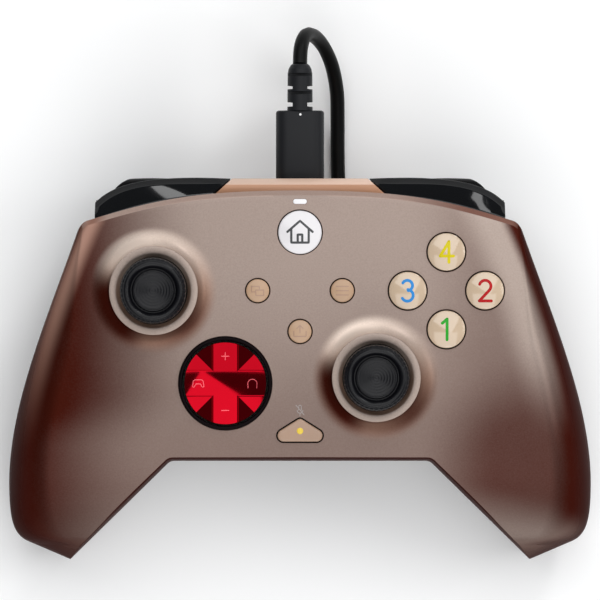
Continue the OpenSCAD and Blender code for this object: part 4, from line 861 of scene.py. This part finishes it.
dpad_cap = dpad_block()
dpad_round = loft("cutter", turned([[dpad_r, 0], [dpad_r, 20]], (*dpad_place, dpad_pivot), 160))
carve(dpad_cap, [dpad_round], "INTERSECT")
red_mirror = moulded("red_mirror", srgb(156, 8, 24), 0.07, grain=700, depth=0.003, Metallic=1.0)
dress(dpad_cap, red_mirror, "dpad_cap", "dpad_cap", sharp=12)
bezel_in, bezel_out, bezel_z = 11.3, 12.22, float(face_height(*dpad_place))
bezel_low, bezel_high = bezel_z - 2.8, bezel_z + 0.3
bezel_profile = rounded(np.array([
    [bezel_in, bezel_low], [bezel_out, bezel_low], [bezel_out, bezel_high], [bezel_in, bezel_high]]), 0.3)
bezel_rings = turned(np.vstack([bezel_profile, bezel_profile[:1]]), (*dpad_place, 0), 128)
dress(solid("dpad_ring", bezel_rings, quads(*bezel_rings.shape[:2], ring=True)),
      moulded("bezel_black", srgb(12, 5, 7), 0.3, grain=1200, depth=0.006, IOR=1.12), "case", "dpad_bezel")

# Face buttons
# The four action buttons are domed and glossy cream. View, menu and share are smaller, in satin tan, and the
# home button is white. Each stands in its opening with a dark gap and is kept in by a flange under the face.
action_dome, small_dome, home_dome = (action_r, 0.9, 1.1), (small_r, 0.5, 0.5), (home_r, 0.4, 0.5)


def button_rings(place, r, edge, rise, low=4, sides=96):
    """A domed button: a straight side, a rounded edge and a cap of a sphere, turned about its middle."""
    z = float(face_height(*place))
    ball = (r * r + rise * rise) / (2 * rise)
    d = np.linspace(r - 0.3, 0, 14)
    a = np.radians([0, 30, 60, 90])
    dome_z = lambda s: edge + rise - ball + np.sqrt(ball * ball - s * s)
    turn_in = [(r - 0.3 + 0.3 * np.cos(t), dome_z(r - 0.3) - 0.34 + 0.3 * np.sin(t)) for t in a]
    profile = np.array([(0, -low), (r, -low), *turn_in, *zip(d, dome_z(d))])
    return turned(profile, (*place, z), sides)


cream_gloss = moulded("cream_gloss", srgb(200, 177, 151), 0.14, grain=1500, depth=0.004, Coat_Weight=0.8)
home_white = moulded("home_white", srgb(222, 219, 221), 0.24, grain=1500, depth=0.004, Coat_Weight=0.4)
small_tan = moulded("small_tan", srgb(180, 147, 118), 0.34, grain=2200, depth=0.01)
for side, place in action_places.items():
    node = "action_" + side
    dress(loft(side + "_action", button_rings(place, *action_dome)), cream_gloss, node, node)
for name, place in small_places.items():
    node = name + "_button"
    dress(loft(name + "_press", button_rings(place, *small_dome)), small_tan, node, node)
dress(loft("home_press", button_rings(home_place, *home_dome)), home_white, "home_button", "home_button")

# Mute button and lamps
# The mute button is a tan rounded triangle with a yellow lamp in it. A white lamp shows through a pill-shaped
# window between the home button and the bridge.
mute_z = float(face_height(*mute_place))
mute_steps = [(-3.8, 0), (0.55, 0), (0.74, 0.06), (0.86, 0.18), (0.92, 0.36), (0.98, 0.9)]
mute_rings = np.stack([
    np.column_stack([mute_outline(-inset), np.full(72, mute_z + z)]) for z, inset in mute_steps])
mute_tan = moulded("mute_tan", srgb(165, 135, 114), 0.34, grain=2200, depth=0.01)
dress(loft("mute_press", mute_rings), mute_tan, "mute_button", "mute_button")
lamp_yellow = moulded("lamp_yellow", srgb(228, 196, 60), 0.3, grain=900, depth=0.004)
lamp_dome = [(0, -1), (0.85, -1), (0.85, 0.98), (0.78, 1.04), (0.5, 1.09), (0, 1.12)]
dress(loft("mute_lens", turned(lamp_dome, (*(mute_place + [0, 1.2]), mute_z), 40)), lamp_yellow, "mute_button",
      "mute_lamp")
lamp_z = float(face_height(*lamp_place))
lamp_white = moulded("lamp_white", srgb(240, 238, 240), 0.3, grain=900, depth=0.003)
lamp_steps = [(-3.2, 0), (0, 0), (0.07, 0.04), (0.1, 0.12)]
lamp_rings = np.stack([
    np.column_stack([lamp_place + pill(lamp_w - 2 * inset, lamp_h - 2 * inset), np.full(26, lamp_z + z)])
    for z, inset in lamp_steps])
dress(loft("lamp_lens", lamp_rings), lamp_white, "case", "lamp_window")

# Marks
# Plain numbers are printed on the action buttons, and thin generic signs stand on the small buttons, the
# direction pad and the face. Each is a row of flat raised lines that follow the surface below them.


def ribbon(path, width, rise, height):
    """A raised line with round ends: across each point of a path on z = height(x, y) stand six points, and the
    half-width falls by a cosine past both ends."""
    path = np.asarray(path, float)
    way = np.gradient(path, axis=0)
    way /= np.linalg.norm(way, axis=1, keepdims=True)
    a = np.radians([15, 40, 65, 88])
    spread = np.concatenate([-np.sin(a[::-1]), np.sin(a)])[:, None] * width / 2
    middle = np.vstack([path[0] + spread[:4] * way[0], path, path[-1] + spread[4:] * way[-1]])
    half = np.concatenate([np.cos(a[::-1]), np.ones(len(path)), np.cos(a)]) * width / 2
    way = np.vstack([np.repeat(way[:1], 4, 0), way, np.repeat(way[-1:], 4, 0)])
    across = np.stack([-way[:, 1], way[:, 0]], 1)
    shares = np.array([1, 1, 0.8, -0.8, -1, -1])
    rises = np.array([-0.12, 0.6 * rise, rise, rise, 0.6 * rise, -0.12])
    p = middle[:, None] + across[:, None] * (half[:, None] * shares)[..., None]
    return np.dstack([p, height(p[..., 0], p[..., 1]) + rises])


def marks(name, paths, place, scale, width, rise, height, material, body):
    """Raised lines along paths in a unit square, put at a place and joined in one piece."""
    rings = [ribbon(place + scale * np.asarray(path, float), width, rise, height) for path in paths]
    starts = np.cumsum([0] + [len(r) * 6 for r in rings])
    faces = []
    for r, start in zip(rings, starts):
        last = start + (len(r) - 1) * 6
        faces += quads(len(r), 6, ring=True, start=start)
        faces += [list(range(start, start + 6)), list(range(last, last + 6))]
    return dress(solid(name, np.vstack([r.reshape(-1, 3) for r in rings]), faces), material, body)


def line_to(*points, cuts=14):
    """Straight lines through points, each with the same number of cuts."""
    p = np.array(points, float)
    t = np.linspace(0, 1, cuts, endpoint=False)[:, None]
    return np.vstack([*(between(a, b, t) for a, b in zip(p, p[1:])), p[-1:]])


def arc(x, y, r, start, end, cuts=28):
    """Part of a circle from one angle to another, in degrees."""
    a = np.radians(np.linspace(start, end, cuts))
    return np.stack([x + r * np.cos(a), y + r * np.sin(a)], 1)


def dome(place, r, edge, rise):
    """The height function of a domed button's top."""
    ball = (r * r + rise * rise) / (2 * rise)
    z = float(face_height(*place)) + edge + rise - ball
    return lambda x, y: z + np.sqrt(ball ** 2 - (x - place[0]) ** 2 - (y - place[1]) ** 2)


numbers = {
    "bottom": [line_to((-0.2, 0.3), (0.03, 0.5)), line_to((0.03, 0.5), (0.03, -0.5))],
    "right": [np.vstack([arc(0, 0.22, 0.28, 160, -32), line_to((0.2, 0.02), (-0.28, -0.5))]),
              line_to((-0.28, -0.5), (0.3, -0.5))],
    "left": [arc(-0.02, 0.25, 0.25, 150, -80), arc(-0.02, -0.23, 0.28, 85, -150)],
    "top": [line_to((0.12, 0.5), (-0.3, -0.2)), line_to((-0.3, -0.2), (0.34, -0.2)),
            line_to((0.12, 0.5), (0.12, -0.5))]}
number_colours = {"top": srgb(206, 190, 22), "right": srgb(172, 14, 18), "bottom": srgb(40, 156, 40),
                  "left": srgb(48, 134, 204)}
for side, paths in numbers.items():
    place = action_places[side]
    ink = moulded("ink_" + side, number_colours[side], 0.25, grain=1500, depth=0.003, IOR=1.25)
    marks("number_" + side, paths, place, 5.4, 0.78, 0.03, dome(place, *action_dome), ink, "action_" + side)
tan_sign = moulded("tan_sign", srgb(164, 132, 112), 0.4, grain=2200, depth=0.006)
small_signs = {
    "view": [line_to((-0.5, 0.35), (0.15, 0.35), (0.15, 0.1)),
             line_to((-0.5, 0.35), (-0.5, -0.1), (-0.2, -0.1)),
             line_to((-0.15, 0.05), (0.5, 0.05), (0.5, -0.4), (-0.15, -0.4), (-0.15, 0.05))],
    "menu": [line_to((-0.5, y), (0.5, y)) for y in (0.35, 0, -0.35)],
    "share": [line_to((-0.5, 0), (-0.5, -0.4), (0.5, -0.4), (0.5, 0)), line_to((0, -0.1), (0, 0.5)),
              line_to((-0.25, 0.25), (0, 0.5), (0.25, 0.25))]}
for name, paths in small_signs.items():
    place = small_places[name]
    marks(name + "_sign", paths, place, 3.2, 0.26, 0.05, dome(place, *small_dome), tan_sign, name + "_button")
home_ink = moulded("home_ink", srgb(52, 54, 56), 0.3, grain=1500, depth=0.003)
house = [line_to((-0.55, 0.02), (0, 0.5), (0.55, 0.02)),
         line_to((-0.38, 0.12), (-0.38, -0.45), (0.38, -0.45), (0.38, 0.12)),
         line_to((-0.1, -0.42), (-0.1, -0.1), (0.1, -0.1), (0.1, -0.42))]
marks("home_sign", house, home_place, 6, 0.6, 0.03, dome(home_place, *home_dome), home_ink, "home_button")
# The raised signs on the direction pad are coloured pale pink, a painted highlight along their lines.
pad_sign_highlight = moulded("pad_sign_highlight", srgb(236, 96, 106), 0.35, grain=900, depth=0.003, Metallic=0.6)
pad_case = np.vstack([
    line_to((-0.3, 0.32), (0.3, 0.32)),
    line_to((0.45, 0.2), (0.52, -0.3), (0.36, -0.36), (0.2, -0.05), (-0.2, -0.05), (-0.36, -0.36),
            (-0.52, -0.3), (-0.45, 0.2), (-0.3, 0.32))])
sign_out = 7.1
pad_signs = [
    (line_to((-0.5, 0), (0.5, 0)), (0, sign_out), 1.9), (line_to((0, -0.5), (0, 0.5)), (0, sign_out), 1.9),
    (line_to((-0.5, 0), (0.5, 0)), (0, -sign_out), 1.9), (pad_case, (-sign_out, 0), 2.9),
    (arc(0, -0.05, 0.42, -20, 200), (sign_out, 0), 2.9),
    (line_to((0.4, -0.16), (0.4, -0.42)), (sign_out, 0), 2.9),
    (line_to((-0.4, -0.16), (-0.4, -0.42)), (sign_out, 0), 2.9)]
marks("pad_signs", [np.asarray(path) * size + at for path, at, size in pad_signs], dpad_place, 1, 0.2, 0.04,
      lambda x, y: dpad_height(x - dpad_place[0], y - dpad_place[1]), pad_sign_highlight, "dpad_cap")
face_ink = moulded("face_ink", srgb(150, 142, 140), 0.4, grain=1500, depth=0.003)
microphone = [line_to((-0.12, 0.38), (-0.12, 0.05)), line_to((0.12, 0.38), (0.12, 0.05)),
              arc(0, 0.38, 0.12, 0, 180), arc(0, 0.05, 0.26, 180, 360),
              line_to((0, -0.22), (0, -0.45)), line_to((-0.36, 0.5), (0.36, -0.36))]
marks("microphone_sign", microphone, np.array([0, -10.8]), 2.9, 0.2, 0.015, face_height, face_ink, "case")

# Plug and strain relief
# The lead ends in a flat black plug that sits in the bridge's opening. Its moulded relief has slots in turn
# on its sides and on its top, so that it bends with the cable. A white dot marks the upper side.
plug_w, plug_t = 12.7, 6.2
relief_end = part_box("plug_relief")[1].y / MM
plug_front, plug_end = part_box("usb_c_plug")[0].y / MM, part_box("usb_c_plug")[1].y / MM
plug_l = plug_end - plug_front
plug_steps = [(0, 0.5), (0.15, 0.2), (0.5, 0), (plug_l - 0.7, 0), (plug_l - 0.25, 0.15), (plug_l, 0.6)]


def flat_ring(y, w, h):
    """A slot outline that stands square to the lead, around its middle."""
    p = pill(w, h)
    return np.column_stack([p[:, 0], np.full(len(p), y), p[:, 1] + port_z])


plug_black = moulded("plug_black", srgb(24, 25, 28), 0.5, grain=2000, depth=0.02, IOR=1.28)
plug_rings = np.stack([flat_ring(plug_front + y, plug_w - 2 * e, plug_t - 2 * e) for y, e in plug_steps])
dress(loft("plug_body", plug_rings), plug_black, "case", "usb_c_plug")
dot_white = moulded("dot_white", srgb(236, 236, 236), 0.4, grain=1500, depth=0.003)
dot_profile = [(0, -0.2), (0.3, -0.2), (0.3, 0.02), (0, 0.03)]
dot_place = (0.1, plug_end - 1.05, port_z + plug_t / 2)
dress(loft("plug_dot", turned(dot_profile, dot_place, 24)), dot_white, "case")


def relief_rings(sides=96):
    """A turned taper that is cut flat on its sides or on its top and bottom within each slot."""
    s = np.linspace(0, relief_end - plug_end, 124)
    r = np.interp(s, [0, 9.8, 11, 11.9, 12.3], [3.35, 3.25, 3.0, 2.5, 2.05])
    rings = turned(np.stack([r, plug_end + s], 1), (0, 0, 0), sides, axis=1)
    side_slot = np.isin(np.searchsorted([1.0, 2.1, 5.6, 6.4], s), [1, 3])
    top_slot = np.isin(np.searchsorted([4.3, 5.0, 9.1, 9.8], s), [1, 3])
    for axis, slot, reach in [(0, side_slot, 1.95), (2, top_slot, 1.5)]:
        limit = np.where(slot, reach, 9)[:, None]
        rings[..., axis] = np.clip(rings[..., axis], -limit, limit)
    return rings + [0, 0, port_z]


dress(loft("plug_boot", relief_rings()), plug_black, "case", "plug_relief", sharp=40)

# Far plug and tie
# The other end of the lead carries a plug with a steel shell, which lies beside the coil under the case. A
# woven strap is wrapped round the coil and holds its turns together.
far_plug = eased("usb_a_plug", plug_black, "case", 0.7)
far_shell = eased("usb_a_shell", plated_steel, "case", 0.12, 2)
woven_strap, wire = new_finish("woven_strap")
strap_place = wire.node("TexCoord", output="Object")
strap_rows = wire.node("TexWave", {"Vector": strap_place, "Scale": 420.0, "Distortion": 1.5}, output="Fac")
shade(wire, {
    "Base Color": strap_rows.tint(srgb(22, 22, 24), srgb(44, 44, 48)), "Roughness": 0.85,
    "Normal": wire.bump(strap_rows, 0.6, 0.15)})
tie = eased("coil_tie", woven_strap, "case", 0.3)

# Lead
# A limp round cable leaves the strain relief, drops behind the case and runs under it, where the rest
# of its length is wound into a coil of four layers. The points between are those of the solid's route.
cord_d = 3.8
coil_mid = np.array([-14, 9.5])
coil_in_r = 13.9
coil_pitch = 4.27
coil_turns = 4
coil_layers = 4
coil_low = 2.9
coil_out_r = coil_in_r + coil_turns * coil_pitch
coil_side = coil_mid[0] + coil_out_r
coil_top = coil_low + (coil_layers - 1) * coil_pitch
far_start = np.array([33, 0, 4])


def through(points, steps):
    """A smooth line through points: a cubic between each two, with the slope of the chord around them."""
    p = np.vstack([points[:1], points, points[-1:]]).astype(float)
    a, b, c, d = (p[k:len(p) - 3 + k, None] for k in range(4))
    t = (np.arange(steps) / steps)[None, :, None]
    line = (2 * b + (c - a) * t + (2 * a - 5 * b + 4 * c - d) * t ** 2
            + (3 * b - a - 3 * c + d) * t ** 3) / 2
    return np.vstack([line.reshape(-1, p.shape[1]), p[-1:]])


def coil_line(steps):
    """The coil: a spiral in and out, layer by layer, that climbs one pitch near each end of a layer."""
    n = np.arange(coil_layers * coil_turns * steps + 1) / steps
    w = n % (2 * coil_turns)
    radius = coil_out_r - coil_pitch * np.where(w <= coil_turns, w, 2 * coil_turns - w)
    layer = np.floor(n / coil_turns + 0.5)
    climb = layer - 1 + ease((n - layer * coil_turns + 0.25) / 0.5)
    height = coil_low + coil_pitch * np.clip(np.where(layer < 1, 0, climb), 0, coil_layers - 1)
    turn = 2 * np.pi * n
    return np.stack([coil_mid[0] + radius * np.cos(turn), coil_mid[1] - radius * np.sin(turn), height], 1)


lead_points = np.array([
    [0, relief_end, port_z], [0.2, 84.5, port_z - 1.1], [1, 87.4, port_z - 4], [2.4, 88.5, port_z - 8],
    [4.4, 87.6, 18.5], [6.6, 84.8, 14.2], [8.6, 80, 10.2], [9.8, 73.5, 6.8], [10, 66, 4.4],
    [10, 58, 2.9], [10.2, 50, 2.2], [11, 40, 2], [coil_side - 3.4, coil_mid[1] + cord_d + 16, coil_low - 0.6],
    [coil_side - 0.7, coil_mid[1] + cord_d + 7, coil_low - 0.1], [coil_side, coil_mid[1] + cord_d, coil_low]])
tail_start = np.array([coil_side, coil_mid[1] - cord_d, coil_top])
tail_points = np.array([
    tail_start, tail_start + [0.2, -6, -0.7], tail_start + [1.6, -12, -2.7], tail_start + [5, -16.5, -5.3],
    [26.6, -12.6, 8], [30.8, -9.8, 5.8], [32.7, -5, 4.5], far_start])
lead_line = np.vstack([through(lead_points, 8), coil_line(48), through(tail_points, 8)])
lead_curve = bpy.data.curves.new("lead", "CURVE")
lead_curve.dimensions = "3D"
lead_curve.bevel_depth = cord_d / 2 * MM
lead_curve.bevel_resolution = 3
lead_curve.use_fill_caps = True
lead_spline = lead_curve.splines.new("POLY")
lead_spline.points.add(len(lead_line) - 1)
lead_spline.points.foreach_set("co", np.hstack([lead_line * MM, np.ones((len(lead_line), 1))]).ravel())
lead_spline.use_smooth = True
black_jacket = moulded("black_jacket", srgb(12, 12, 12), 0.42, grain=1800, IOR=1.2)
lead_curve.materials.append(black_jacket)
lead = put("lead", lead_curve)
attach(lead, "case")
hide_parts("cord_lead", "cord_coil", "cord_tail")
